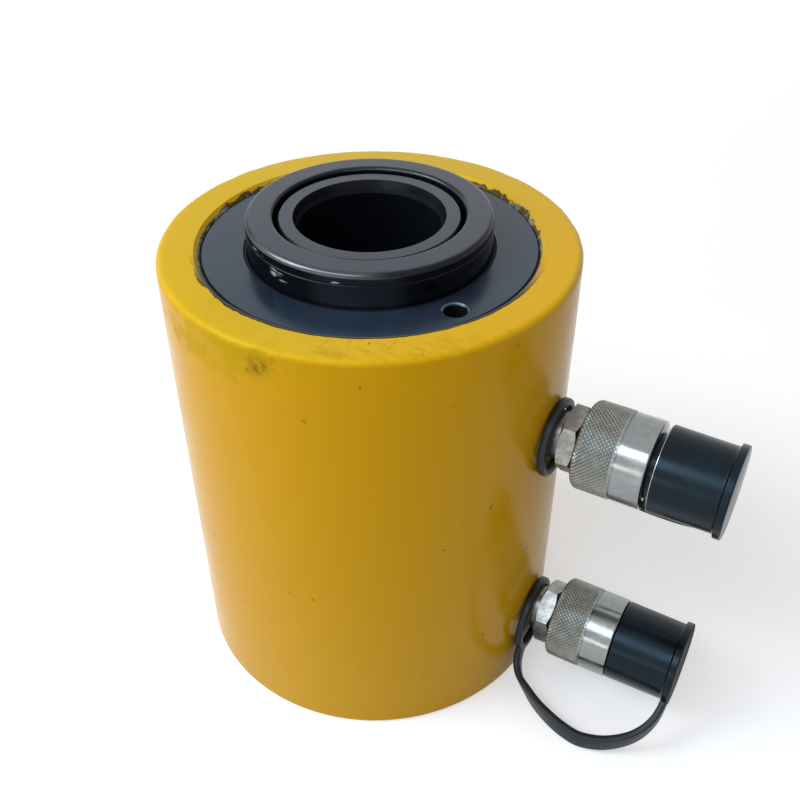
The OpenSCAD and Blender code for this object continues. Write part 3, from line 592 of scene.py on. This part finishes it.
def turned(name, base, pale, roughness, tint, top=None):
    """Lathe-turned steel: fine rings about the axis and a cloudy tone, and if so told a paler top, as
    painted light.
    """
    ring_pitch = 0.35 * MM
    look = Look(name, Specular_Tint=tint)
    rings = look.add("CombineXYZ", {0: look.math("DIVIDE", look.radius(), ring_pitch)}).outputs[0]
    fine = look.noise(1, 3, 0.6, at=rings)
    cloud = look.noise(45, 5, 0.6)
    tone = look.math("ADD", look.times(fine, 0.4), look.times(cloud, 0.6))
    look.base = look.mix(look.band(tone, 0.35, 0.68), base, pale)
    # Painted light: level faces are mixed to the paler top colour
    if top:
        on_top = look.times(look.band(look.up(), 0.8, 0.95), look.band(tone, 0.2, 0.8, 0.75, 1))
        look.base = look.mix(on_top, look.base, top)
    look.feed(look.shader, "Base Color", look.base)
    look.roughness = look.uneven(tone, roughness, 0.07)
    look.bump(fine, 0.015 * MM, 0.3)
    look.bump(look.noise(700, 2), 0.01 * MM, 0.25)
    return look


def gland_steel():
    """Black-oxided steel, rubbed bright at its spanner holes, with painted shade at its margin and
    lower down.
    """
    # Its reflections get a painted blue tint of the light
    look = turned("black_oxide", colour(0.010, 0.019, 0.036), colour(0.019, 0.030, 0.050), 0.22,
                  colour(0.62, 0.82, 0.87))
    height = look.xyz()["Z"]
    high = look.band(height, *RUBBED_Z)
    for turn in (0, 180):
        hole = mark_at(0, SPANNER_PCR, SPANNER_ANGLE + turn)
        off_edge = look.math("ABSOLUTE", look.math("SUBTRACT", look.radius(hole), SPANNER_EDGE))
        edge = look.times(look.band(off_edge, *SPANNER_RUB, 1, 0), high)
        rubbed = look.times(edge, look.band(look.noise(180, 4), 0.3, 0.6, 0.2, 0.55))
        look.base = look.mix(rubbed, look.base, RUBBED_STEEL)
    # Painted shade: the front of the outer margin, by the barrel's rim, and the sunk faces below the
    # top are darkened and dulled
    margin = look.times(look.band(look.radius(), *GLAND_MARGIN_R), look.toward(*GLAND_SHADE_FRONT))
    sunk = look.times(look.band(height, *SUNK_TOP_Z, 1, 0), look.band(height, *SUNK_FOOT_Z))
    painted_shade = look.math("MAXIMUM", margin, sunk)
    look.base = look.mix(look.times(painted_shade, 0.85), look.base, GLAND_SHADE)
    look.feed(look.shader, "Specular IOR Level", look.band(painted_shade, 0, 1, 0.5, 0.06))
    dust = look.band(look.noise(420, 3), 0.74, 0.78)
    look.base = look.mix(look.times(dust, 0.4), look.base, RUBBED_STEEL)
    look.feed(look.shader, "Base Color", look.base)
    return look.material


def plunger_steel():
    """Dark nitrided steel of the plunger, saddle and tube, with bright nicks and a sheen by zones.

    It shines on a strip up the plunger's front, on the front of the saddle's outer edge and at
    the back of its inner edge. The sides, the bores and the seam under the saddle are dull.
    Painted shade darkens the upright sides off that strip, and painted light pales the level tops.
    """
    # The paler top colour is painted light; the blue tint of its reflections is a painted tint of the
    # light
    look = turned("dark_steel", colour(0.006, 0.007, 0.010), colour(0.012, 0.013, 0.018), 0.2,
                  colour(0.84, 0.91, 1), top=colour(0.016, 0.020, 0.032))
    up = look.up()
    on_side, on_top = look.band(up, *UPRIGHT, 1, 0), look.band(up, *LEVEL)
    strip = look.toward(*ROD_STRIP)
    # Painted shade: upright sides are darkened, all but the strip up the front
    side_shade = look.times(on_side, look.band(strip, 0, 1, 0.75, 0))
    look.base = look.mix(side_shade, look.base, SIDE_SHADE_STEEL)
    for at, size in NICKS:
        near = look.radius(at, NICK_SHAPE)
        lines = look.noise(1, 2, 0.5, at=look.stretched((90, 90, 800)))
        mark = look.times(look.band(near, size * 0.5, size, 1, 0), look.band(lines, 0.5, 0.56))
        look.base = look.mix(look.times(mark, 0.9), look.base, NICKED_STEEL)
    look.feed(look.shader, "Base Color", look.base)

    # Sheen of the sides, the edges and the level tops
    from_axis = look.radius()
    outer = look.band(from_axis, *SADDLE_OUTER_R)
    inner = look.times(look.band(from_axis, *SADDLE_INNER_R), look.rest(outer))
    glint = look.times(inner, look.toward(*SADDLE_GLINT))
    side_gloss = look.times(look.band(strip, 0, 1, 0.12, 0.8),
                            look.band(from_axis, *BORE_SHADE_R, 0.4, 1),
                            look.band(look.toward(*ROD_SHADE), 0, 1, 1, 0.05))
    edge_gloss = look.math("ADD",
                           look.times(outer, look.band(look.toward(*SADDLE_SHINE), 0, 1, 0.15, 1)),
                           look.times(look.rest(outer), look.band(glint, 0, 1, 0.12, 0.5)))
    gloss = look.math("ADD", look.times(on_side, side_gloss),
                      look.times(look.band(up, *UPRIGHT), edge_gloss))
    gloss = look.math("ADD", look.times(look.rest(on_top), gloss), look.times(on_top, 0.57))

    # Painted shade: hardly any sheen in the seam under the saddle and at the start of the saddle's
    # inner rounding
    off_seam = look.math("ABSOLUTE", look.math("SUBTRACT", look.xyz()["Z"], ROD_TOP))
    seam = look.times(look.band(off_seam, *SEAM_REACH, 1, 0), look.band(from_axis, *ROD_OUTSIDE_R))
    start = look.times(inner, look.toward(*SADDLE_SHADE), look.band(from_axis, *SADDLE_SHADE_R, 1, 0),
                       look.band(up, 0.74, 0.82))
    most = look.band(look.math("MAXIMUM", seam, start), 0, 1, 1, 0.1)
    look.feed(look.shader, "Specular IOR Level", look.math("MINIMUM", gloss, most))
    in_hole = look.band(from_axis, *HOLE_R, 0.42, 0)
    look.feed(look.shader, "Roughness", look.math("MAXIMUM", look.roughness, in_hole))
    return look.material


def plated(name, base, pale, roughness, grain, speck=0.0):
    """Plated or machined steel with a mottled tone, a fine grain and, if so told, dark specks."""
    look = Look(name, Metallic=1.0)
    tone = look.mix(look.band(look.noise(260, 5, 0.65), 0.36, 0.66), base, pale)
    if speck:
        pits = look.band(look.noise(900, 3), 0.56, 0.66)
        tone = look.mix(look.times(pits, speck), tone, PITTED_STEEL)
    look.feed(look.shader, "Base Color", tone)
    look.uneven(look.noise(120, 4), roughness, 0.09)
    look.bump(look.noise(1, 3, 0.6, at=look.stretched(grain)), 0.012 * MM, 0.4)
    return look.material


def rubber(name, base, worn, roughness, level, tint=WHITE):
    """Moulded rubber, with a faint skin texture, dust and rubbed places."""
    look = Look(name, Specular_IOR_Level=level, Specular_Tint=tint)
    dust = look.band(look.noise(70, 6, 0.65), 0.48, 0.78)
    look.feed(look.shader, "Base Color", look.mix(dust, base, worn))
    look.uneven(look.noise(35, 4), roughness, 0.08)
    look.bump(look.noise(1600, 3), 0.015 * MM, 0.4)
    look.bump(look.noise(140, 3), 0.06 * MM, 0.25)
    return look.material


def moulded(name, base, pale, roughness, fleck_scale):
    """A cut plastic ring with flecks of filler and a faint lathe texture."""
    look = Look(name)
    flecks = look.band(look.noise(fleck_scale, 3), 0.55, 0.68)
    look.feed(look.shader, "Base Color", look.mix(flecks, base, pale))
    look.uneven(look.noise(90, 3), roughness, 0.08)
    look.bump(look.noise(1200, 2), 0.015 * MM, 0.4)
    return look.material


EVEN_GRAIN = (900, 900, 900)
LATHE_GRAIN = (300, 300, 2000)
POLISHED_GRAIN = (60, 2600, 2600)

ENAMEL = paint()
MACHINED = plated("machined_steel", colour(0.20, 0.20, 0.19), colour(0.32, 0.32, 0.31), 0.36,
                  LATHE_GRAIN)
OXIDE = gland_steel()
DARK_STEEL = plunger_steel()
ZINC = plated("zinc_hexagon", colour(0.19, 0.19, 0.175), colour(0.31, 0.31, 0.29), 0.34,
              EVEN_GRAIN, 0.5)
KNURLED = plated("zinc_knurl", colour(0.24, 0.26, 0.25), colour(0.31, 0.33, 0.32), 0.33, EVEN_GRAIN)
POLISHED = plated("zinc_polished", colour(0.245, 0.26, 0.26), colour(0.285, 0.30, 0.30), 0.17,
                  POLISHED_GRAIN)
# A painted highlight for the upper cap's rim
CAP_RIM_HIGHLIGHT = plated("cap_rim_highlight", colour(0.30, 0.32, 0.33), colour(0.40, 0.42, 0.43), 0.2, POLISHED_GRAIN)
# The caps' reflections get a painted blue tint of the light
CAP_RUBBER = rubber("cap_rubber", colour(0.002, 0.003, 0.005), colour(0.005, 0.007, 0.010), 0.27, 0.28,
                    colour(0.52, 0.82, 1))
STRAP_RUBBER = rubber("strap_rubber", colour(0.011, 0.012, 0.014), colour(0.024, 0.026, 0.029), 0.4,
                      0.3, colour(0.85, 0.95, 1))
SEAL_RUBBER = rubber("seal_rubber", colour(0.006, 0.006, 0.007), colour(0.012, 0.012, 0.013), 0.6, 0.1)
LIP_SEAL = moulded("lip_seal", colour(0.05, 0.19, 0.11), colour(0.08, 0.26, 0.16), 0.42, 500)
GUIDE_PLASTIC = moulded("guide_plastic", colour(0.36, 0.21, 0.10), colour(0.50, 0.33, 0.18), 0.55, 900)


# Barrel

def barrel_outline():
    """The barrel's section: seat of the tube, foot, side, rounded rim, thread and bore."""
    outline = rounded([
        (0, FLANGE_SEAT_R, 0),
        (0, BODY_R - FOOT_CHAMFER, 0),
        (FOOT_CHAMFER, BODY_R, 0),
        (BODY_TOP, BODY_R, RIM_ROUND),
        (BODY_TOP, THREAD_R + RIM_CHAMFER, 0),
        (BODY_TOP - RIM_CHAMFER, THREAD_R, 0),
        (THREAD_FOOT, THREAD_R, 0),
        (THREAD_FOOT, BORE_R, 0),
        (FLOOR_OF_BORE, BORE_R, 0),
        (FLOOR_OF_BORE, TUBE_SEAT_R, 0),
        (FLANGE_SEAT_TOP, TUBE_SEAT_R, 0),
        (FLANGE_SEAT_TOP, FLANGE_SEAT_R, 0),
    ])
    fine = divided(outline, SIDE_STRETCH, lambda p: p.y > THREAD_R)
    return divided(fine, RIM_STRETCH, lambda p: p.y > THREAD_R and p.x > BODY_TOP - RIM_ZONE)


def rim_wear(point):
    """How far the rim is filed and dented at a point."""
    from_rim = max(0, BODY_TOP - point.z)
    from_side = BODY_R - point.xy.length
    near_edge = math.exp(-(from_rim / WEAR_DROP) ** 2) * max(0, 1 - from_side / WEAR_WIDTH)
    lumps = 0.5 + 0.5 * noise.noise(point * WEAR_LUMPS) + 0.35 * noise.noise(point * WEAR_GRAIN)
    dent = math.exp(-((point - Vector(RUB_AT)).length / DENT_R) ** 2)
    return max(0, WEAR_DEPTH * near_edge * lumps) + DENT_DEPTH * dent


def barrel():
    """The barrel with its worn rim, its two ports and passages and its two base holes."""
    verts, faces = spin(barrel_outline(), about_z, BARREL_STEPS)
    for point in verts:
        if point.z > BODY_TOP - RIM_ZONE and point.xy.length > THREAD_R + RIM_CHAMFER:
            wear = rim_wear(point)
            point.xy -= point.xy.normalized() * wear * WEAR_SLANT
            point.z -= wear * WEAR_SLANT
    made = solid("barrel", verts, faces, sharp=40)
    for side in SIDES:
        port = [(BORE_R - PORT_DEPTH, 0), (BORE_R - PORT_DEPTH, PASSAGE_R),
                (BODY_R - PORT_DEPTH, PASSAGE_R), (BODY_R - PORT_DEPTH, PORT_R),
                (BODY_R + PORT_DEPTH, PORT_R), (BODY_R + PORT_DEPTH, 0)]
        cutter = solid("port", *spin(port, about_port(side), CUTTER_STEPS, CUTTER_SHIFT))
        combine(made, cutter, "DIFFERENCE")
    for y in (-BASE_HOLE_PCD / 2, BASE_HOLE_PCD / 2):
        hole = [(-BASE_HOLE_DEPTH, 0), (-BASE_HOLE_DEPTH, BASE_HOLE_R),
                (BASE_HOLE_DEPTH, BASE_HOLE_R), (BASE_HOLE_DEPTH, 0)]
        drilled, sides = spin(hole, about_z, CUTTER_STEPS, CUTTER_SHIFT)
        combine(made, solid("hole", [p + Vector((0, y, 0)) for p in drilled], sides), "DIFFERENCE")
    dress(made, "body_paint", ENAMEL, MACHINED)
    for face in made.data.polygons:
        outside = face.center.xy.length > BODY_R - PAINTED_SKIN
        top = face.center.z > BODY_TOP - PAINTED_LIP
        face.material_index = 0 if outside or top else 1
    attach(made, "cylinder")
    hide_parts("cylinder_body")


# Saddle

def saddle():
    """The ring on top of the plunger, with rounded edges and a skirt."""
    outline = rounded([
        (SADDLE_FOOT, SADDLE_BORE_R, SADDLE_SKIRT_ROUND),
        (SADDLE_FOOT, SADDLE_SKIRT_R, SADDLE_SKIRT_ROUND),
        (ROD_TOP, SADDLE_SKIRT_R, 0),
        (ROD_TOP, SADDLE_R, SADDLE_UNDER_ROUND),
        (SADDLE_TOP, SADDLE_R, SADDLE_ROUND),
        (SADDLE_TOP, SADDLE_BORE_R, SADDLE_MOUTH_ROUND),
    ], steps=8)
    made = solid("saddle_ring", *spin(braced(outline), about_z, SADDLE_STEPS), sharp=50)
    dress(made, "dark_steel", DARK_STEEL)
    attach(made, "plunger")
    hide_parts("saddle")


# Couplers

def rear_length():
    """Length of the knurl's rounded rear edge, a quarter of an ellipse."""
    return math.pi / 2 * math.sqrt((KNURL_REAR_LEN ** 2 + (COLLAR_R - KNURL_REAR_R) ** 2) / 2)


def knurl_point(along, high):
    """Station and radius on the knurled sleeve, at a length along its rounded outline."""
    deep = 0 if high else KNURL_DEPTH
    if along < rear_length():
        angle = math.pi / 2 * along / rear_length()
        rear = COLLAR_START + KNURL_REAR_LEN * (1 - math.cos(angle))
        return (rear + deep * math.cos(angle) * math.sin(angle),
                KNURL_REAR_R + (COLLAR_R - KNURL_REAR_R - deep) * math.sin(angle))
    return COLLAR_START + KNURL_REAR_LEN + along - rear_length(), COLLAR_R - deep


def knurl(place):
    """A band of blunt diamonds: corners, faces, and the rings at its two ends."""
    columns = KNURL_COLUMNS
    length = rear_length() + KNURL_LEN - KNURL_REAR_LEN
    rows = 2 * round(length / (math.tau * COLLAR_R / columns) / 2)
    verts, faces, low = [], [], {}

    def at(column, row, high):
        station, radius = knurl_point(length * row / rows, high)
        verts.append(place(station, radius, math.tau * column / columns))
        return len(verts) - 1

    def end(row):
        return row in (0, rows)

    for row in range(rows + 1):
        for column in range(columns):
            if end(row) or (row + column) % 2 == 0:
                low[column, row] = at(column, row, False)
    for row in range(rows + 1):
        for column in range(columns):
            if (row + column) % 2 == 0:
                continue
            west, east = low[(column - 1) % columns, row], low[(column + 1) % columns, row]
            if end(row):
                inner = low[column, 1 if row == 0 else rows - 1]
                middle = low[column, row]
                faces += [(west, middle, inner), (middle, east, inner)]
                continue
            corners = (west, low[column, row - 1], east, low[column, row + 1])
            tops = [at(column + dx * KNURL_FLAT, row + dy * KNURL_FLAT, True)
                    for dx, dy in ((-1, 0), (0, -1), (1, 0), (0, 1))]
            faces.append(tuple(tops))
            for k in range(4):
                n = (k + 1) % 4
                faces.append((corners[k], corners[n], tops[n], tops[k]))
    return verts, faces, [[low[c, r] for c in range(columns)] for r in (0, rows)]


def mouth_thread():
    """Stations and radii of the thread inside a collar's mouth, from its lead inwards."""
    pitch = (COLLAR_END - MOUTH_LEAD - COLLAR_STEP - MOUTH_RUNOUT) / MOUTH_TURNS
    thread = []
    for k in range(MOUTH_TURNS, 0, -1):
        root = COLLAR_STEP + MOUTH_RUNOUT + k * pitch
        thread.append((root, MOUTH_R))
        thread += [(root - pitch * share, MOUTH_R - CREST_DEPTH) for share in CREST_SHARES]
    return thread


def collar(side):
    """A sleeve with a knurled grip, a thin groove, a polished end and a threaded mouth."""
    place = about_port(side)
    verts, faces, (rear, front) = knurl(place)
    groove_start = COLLAR_START + KNURL_LEN
    groove_end = groove_start + GROOVE_W
    outline = [
        (groove_start + GROOVE_SLOPE, POLISH_R - GROOVE_DEPTH),
        (groove_end - GROOVE_SLOPE, POLISH_R - GROOVE_DEPTH),
        (groove_end, POLISH_R - EDGE_BREAK),
        (groove_end + EDGE_BREAK, POLISH_R),
        (COLLAR_END - POLISH_ROUND, POLISH_R),
        (COLLAR_END - EDGE_BREAK, POLISH_R - EDGE_BREAK),
        (COLLAR_END, POLISH_R - POLISH_ROUND),
        (COLLAR_END, MOUTH_R + MOUTH_CHAMFER),
        (COLLAR_END - MOUTH_CHAMFER, MOUTH_R),
        *mouth_thread(),
        (COLLAR_STEP, MOUTH_R),
        (COLLAR_STEP, COLLAR_BORE_R),
        (COLLAR_START, COLLAR_BORE_R),
    ]
    # The knurl closes this outline, so the braces of its own closing stretch are left out
    rings = [front]
    for station, radius in braced([Vector(p) for p in outline])[:-2]:
        rings.append(list(range(len(verts), len(verts) + KNURL_COLUMNS)))
        verts += [place(station, radius, math.tau * c / KNURL_COLUMNS) for c in range(KNURL_COLUMNS)]
    rings.append(rear)
    knurled = len(faces)
    for first, second in zip(rings, rings[1:]):
        for c in range(KNURL_COLUMNS):
            n = (c + 1) % KNURL_COLUMNS
            faces.append((first[c], first[n], second[n], second[c]))
    made = solid(f"{side}_knurled_collar", verts, faces, sharp=28)
    dress(made, "coupler_steel", KNURLED, POLISHED)
    for face in made.data.polygons[knurled:]:
        face.material_index = 1
    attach(made, f"{side}_collar")
    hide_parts(f"{side}_collar")


def dust_cap(side):
    """A rubber plug: spigot, tapered grip, end flange and a hollow core.

    The upper cap has a painted highlight, a thin bright line on its rim, and the lower one a dulled end
    face as painted shade.
    """
    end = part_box(f"{side}_dust_cap")[1].x
    rim = end - CAP_LEN
    foot = end - CAP_FLANGE_T
    outline = rounded([
        (end, 0, 0),
        (end, CAP_FLANGE_R, CAP_FLANGE_ROUND),
        (foot, CAP_FLANGE_R, CAP_FLANGE_BACK),
        (foot, CAP_R - CAP_TAPER, CAP_FILLET),
        (rim, CAP_R, CAP_ROUND),
        (rim, SPIGOT_R, SPIGOT_FILLET),
        (rim - SPIGOT_LEN, SPIGOT_R, SPIGOT_ROUND),
        (rim - SPIGOT_LEN, CORE_R, SPIGOT_ROUND),
        (foot, CORE_R, CORE_FILLET),
        (foot, 0, 0),
    ])
    made = solid(f"{side}_rubber_cap", *spin(braced(outline), about_port(side), CAP_STEPS), sharp=50)
    dress(made, "cap_rubber", CAP_RUBBER, CAP_RIM_HIGHLIGHT, SEAL_RUBBER)
    for face in made.data.polygons:
        from_axis = math.hypot(face.center.y, face.center.z - PORT_Z[side])
        on_edge = face.center.x < rim + CAP_ROUND and from_axis > CAP_R - BRIGHT_EDGE_W
        # Painted highlight: a bright metal line on the upper cap's rim
        if side == "upper" and on_edge:
            face.material_index = 1
        # Painted shade: the lower cap's end face gets the duller seal rubber
        elif side == "lower" and face.center.x > end - DULL_FACE_T:
            face.material_index = 2
    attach(made, f"{side}_dust_cap")
    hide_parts(f"{side}_dust_cap")


def smooth_line(points, steps):
    """A smooth line through the points."""
    padded = [points[0] * 2 - points[1], *points, points[-1] * 2 - points[-2]]
    line = []
    for a, b, c, d in zip(padded, padded[1:], padded[2:], padded[3:]):
        for k in range(steps):
            t = k / steps
            line.append(0.5 * (2 * b + (c - a) * t + (2 * a - 5 * b + 4 * c - d) * t * t
                               + (3 * b - a - 3 * c + d) * t ** 3))
    return line + [points[-1]]


def swung(swing):
    """The ways out and across for something that hangs on a coupler, swung from straight down."""
    turn = math.radians(swing)
    return Vector((0, -math.sin(turn), -math.cos(turn))), Vector((0, math.cos(turn), -math.sin(turn)))


def ring_halves(side):
    """Half the length and half the width of the middle line of a strap's ring."""
    half_l = NECK_R + RING_GAP[side] + (RING_PULL[side] + RING_BAND) / 2
    return half_l, RING_HALF_W + RING_BAND / 2


def ring_reach(side, angle):
    """Distance from the neck's axis to the middle of the ring's band, in a direction."""
    half_l, half_w = ring_halves(side)
    along = math.cos(math.radians(angle)) / half_l
    aside = math.sin(math.radians(angle)) / half_w
    total = along ** 2 + aside ** 2
    off = RING_PULL[side] / 2 / half_l
    return (along * off + math.sqrt(total - (aside * off) ** 2)) / total


def strap_ring(side):
    """The rubber ring round the neck, pulled out of round by its strap."""
    out_way, across_way = swung(RING_SWING[side])
    along_way = Vector((1, 0, 0))
    half_l, half_w = ring_halves(side)
    half_t, half_band = (RING_END - RING_START) / 2, RING_BAND / 2
    section = rounded([
        (half_t, -half_band, RING_INNER_ROUND), (half_t, half_band, RING_OUTER_ROUND),
        (-half_t, half_band, RING_OUTER_ROUND), (-half_t, -half_band, RING_INNER_ROUND),
    ], steps=4)
    centres, frames = [], []
    for i in range(RING_STEPS):
        angle = math.tau * i / RING_STEPS
        out = RING_PULL[side] / 2 + half_l * math.cos(angle)
        centre = Vector(((RING_START + RING_END) / 2, 0, PORT_Z[side]))
        centre += out_way * out + across_way * half_w * math.sin(angle)
        normal = out_way * (math.cos(angle) / half_l) + across_way * (math.sin(angle) / half_w)
        centres.append(centre)
        frames.append((along_way, normal.normalized()))
    return solid("ring", *sweep(centres, frames, section, loop=True), sharp=40)


def strap_line(side, ring_x, flange_x):
    """The strap's middle line, as points along the coupler and out from its axis."""
    span = flange_x - ring_x
    root = ring_reach(side, STRAP_ROOT[side] - RING_SWING[side])
    end = CAP_FLANGE_R - STRAP_SINK
    reach = STRAP_REACH[side]
    route = [Vector((ring_x + a * span, root + s * (reach - root))) for a, s in STRAP_OUT[side]]
    route += [Vector((ring_x + a * span + b * STRAP_BULGE[side], end + s * (reach - end)))
              for a, s, b in STRAP_BACK[side]]
    return smooth_line(route, STRAP_STEPS)


def strap(side):
    """The tether: a ring round the coupler's neck, and a belt that loops to the cap's flange."""
    ring_x = (RING_START + RING_END) / 2
    flange_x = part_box(f"{side}_dust_cap")[1].x - CAP_FLANGE_T / 2
    line = strap_line(side, ring_x, flange_x)
    last = len(line) - 1
    half_w, half_t = STRAP_W / 2 - STRAP_INSET, STRAP_T / 2 - STRAP_INSET
    section = rounded([
        (half_w, -half_t, STRAP_ROUND), (-half_w, -half_t, STRAP_ROUND),
        (-half_w, half_t, STRAP_ROUND), (half_w, half_t, STRAP_ROUND),
    ], steps=4)
    centres, frames = [], []
    for i, p in enumerate(line):
        share = i / last
        way = Vector((0, 1 if i == 0 else -1))
        if 0 < i < last:
            way = (line[i + 1] - line[i - 1]).normalized()
        back = (STRAP_SWING[side] - STRAP_ROOT[side]) * math.cos(min(math.pi / 2, math.pi * share)) ** 2
        out_way, across_way = swung(STRAP_SWING[side] - back)
        normal = Vector((-way.y, 0, 0)) + out_way * way.x
        roll = math.radians(STRAP_ROLL[side]) * math.sin(math.pi * share) ** 2
        centres.append(Vector((p.x, 0, PORT_Z[side])) + out_way * p.y)
        frames.append((across_way * math.cos(roll) + normal * math.sin(roll),
                       normal * math.cos(roll) - across_way * math.sin(roll)))
    belt = solid(f"{side}_tether", *sweep(centres, frames, section), sharp=40)
    combine(belt, strap_ring(side), "UNION")
    dress(belt, "cap_rubber", STRAP_RUBBER)
    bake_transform(belt)
    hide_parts(f"{side}_cap_strap")


def valve_spring(side):
    """A coil between the retainer and the valve."""
    low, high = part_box(f"{side}_poppet_spring")
    coil_r = (high.y - low.y) / 2 - SPRING_WIRE_R
    start, end = low.x + SPRING_WIRE_R, high.x - SPRING_WIRE_R
    place = about_port(side)
    count = SPRING_TURNS * SPRING_STEPS
    centres, frames = [], []
    for i in range(count + 1):
        angle = math.tau * i / SPRING_STEPS
        centres.append(place(start + (end - start) * i / count, coil_r, angle))
        frames.append((place(0, 1, angle) - place(0, 0, 0), Vector((1, 0, 0))))
    around = [math.tau * k / SPRING_WIRE_SIDES for k in range(SPRING_WIRE_SIDES)]
    wire = [Vector((math.cos(angle), math.sin(angle))) * SPRING_WIRE_R for angle in around]
    made = solid(f"{side}_spring_coil", *sweep(centres, frames, wire), sharp=60)
    dress(made, "coupler_steel", ZINC)
    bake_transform(made)
    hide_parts(f"{side}_poppet_spring")


# Carried-over nodes

CARRIED = {
    "centre_tube": DARK_STEEL, "gland_nut": OXIDE, "plunger": DARK_STEEL,
    "rod_wiper": SEAL_RUBBER, "inner_wiper": SEAL_RUBBER, "tube_o_ring": SEAL_RUBBER,
    "gland_o_ring": SEAL_RUBBER, "rod_seal": LIP_SEAL, "inner_seal": LIP_SEAL, "piston_seal": LIP_SEAL,
    "rod_guide_ring": GUIDE_PLASTIC, "inner_guide_ring": GUIDE_PLASTIC,
    "piston_guide_ring": GUIDE_PLASTIC, "gland_backup_ring": GUIDE_PLASTIC,
}
for side in SIDES:
    CARRIED |= {
        f"{side}_coupler_body": ZINC, f"{side}_snap_ring": MACHINED, f"{side}_nose_o_ring": SEAL_RUBBER,
        f"{side}_spring_retainer": MACHINED, f"{side}_poppet": ZINC,
    }
for name, material in CARRIED.items():
    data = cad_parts[name].data
    data.materials.clear()
    data.materials.append(material)

barrel()
saddle()
for side in SIDES:
    collar(side)
    dust_cap(side)
    strap(side)
    valve_spring(side)


# Studio

CAMERA_AT = Vector((0.1702, -0.2802, 0.3724))
CAMERA_RIGHT = Vector((0.87243, 0.48874, -0.00205))
CAMERA_UP = Vector((-0.3012, 0.54095, 0.78527))
CAMERA_LENS = 44.36
CAMERA_SENSOR = 36
CAMERA_NEAR = 0.01
STUDIO_CENTRE = Vector((0.02, 0, 0.1))
FLOOR_HALF = 6
FLOOR_GREY = colour(0.7, 0.7, 0.7)
FLOOR_LIFT = {"From Min": 0.35, "From Max": 1.6, "To Min": 0.42, "To Max": 0.7}
WORLD_LIGHT = 0.45
WINDOW_TINT = (0.82, 0.96, 1.14)


def make_camera():
    """The photo's camera, from its place and its ways right and up."""
    data = bpy.data.cameras.new("camera")
    data.lens = CAMERA_LENS
    data.sensor_width = CAMERA_SENSOR
    data.clip_start = CAMERA_NEAR
    made = bpy.data.objects.new("camera", data)
    bpy.context.scene.collection.objects.link(made)
    right = CAMERA_RIGHT.normalized()
    back = right.cross(CAMERA_UP).normalized()
    up = back.cross(right)
    made.matrix_world = Matrix.Translation(CAMERA_AT) @ Matrix((right, up, back)).transposed().to_4x4()
    bpy.context.scene.camera = made


def softbox(name, offset, width, height, power, tint=(1, 1, 1)):
    """An area light at an offset from the part's middle, facing it."""
    data = bpy.data.lights.new(name, "AREA")
    data.shape = "RECTANGLE"
    data.size, data.size_y = width, height
    data.energy = power
    data.color = tint
    made = bpy.data.objects.new(name, data)
    bpy.context.scene.collection.objects.link(made)
    made.location = STUDIO_CENTRE + Vector(offset)
    made.rotation_mode = "QUATERNION"
    made.rotation_quaternion = (-Vector(offset)).to_track_quat("-Z", "Y")
    made.visible_camera = False


def seen_directly(tree):
    """1 for rays from the camera, or by a mirror or glass, and 0 for those that only light."""
    path = tree.nodes.new("ShaderNodeLightPath")
    total = path.outputs["Is Camera Ray"]
    for kind in ("Is Glossy Ray", "Is Transmission Ray"):
        node = tree.nodes.new("ShaderNodeMath")
        node.operation = "MAXIMUM"
        tree.links.new(total, node.inputs[0])
        tree.links.new(path.outputs[kind], node.inputs[1])
        total = node.outputs[0]
    return total


def make_floor():
    """A pale floor that takes shadows and, where it is seen, brightens away from the part."""
    mesh = bpy.data.meshes.new("floor")
    corners = [(-FLOOR_HALF, -FLOOR_HALF, 0), (FLOOR_HALF, -FLOOR_HALF, 0),
               (FLOOR_HALF, FLOOR_HALF, 0), (-FLOOR_HALF, FLOOR_HALF, 0)]
    mesh.from_pydata(corners, [], [(0, 1, 2, 3)])
    made = bpy.data.objects.new("floor", mesh)
    bpy.context.scene.collection.objects.link(made)
    look = Look("floor", Base_Color=FLOOR_GREY, Roughness=0.9, Specular_IOR_Level=0,
                Emission_Color=WHITE)
    position = look.add("NewGeometry").outputs["Position"]
    away = look.add("VectorMath", {0: position}, operation="LENGTH").outputs["Value"]
    lift = look.add("MapRange", {"Value": away, **FLOOR_LIFT}).outputs[0]
    look.feed(look.shader, "Emission Strength", look.times(lift, seen_directly(look.tree)))
    mesh.materials.append(look.material)


def make_world():
    """A white background where it is seen, which lights the part less than it shows."""
    world = bpy.data.worlds.new("studio")
    bpy.context.scene.world = world
    world.use_nodes = True
    tree = world.node_tree
    background = tree.nodes["Background"]
    background.inputs["Color"].default_value = WHITE
    strength = tree.nodes.new("ShaderNodeMapRange")
    strength.inputs["To Min"].default_value = WORLD_LIGHT
    strength.inputs["To Max"].default_value = 1
    tree.links.new(seen_directly(tree), strength.inputs["Value"])
    tree.links.new(strength.outputs[0], background.inputs["Strength"])


make_camera()
make_floor()
make_world()
softbox("key", offset=(-0.95, -0.65, 0.95), width=0.8, height=0.8, power=11.8)
softbox("window", offset=(-0.25, -0.70, 0.98), width=1.2, height=0.42, power=6.8, tint=WINDOW_TINT)
softbox("strip", offset=(-0.2, -1.15, 0.25), width=0.9, height=0.16, power=1.2)
bpy.context.scene.view_settings.view_transform = "Standard"
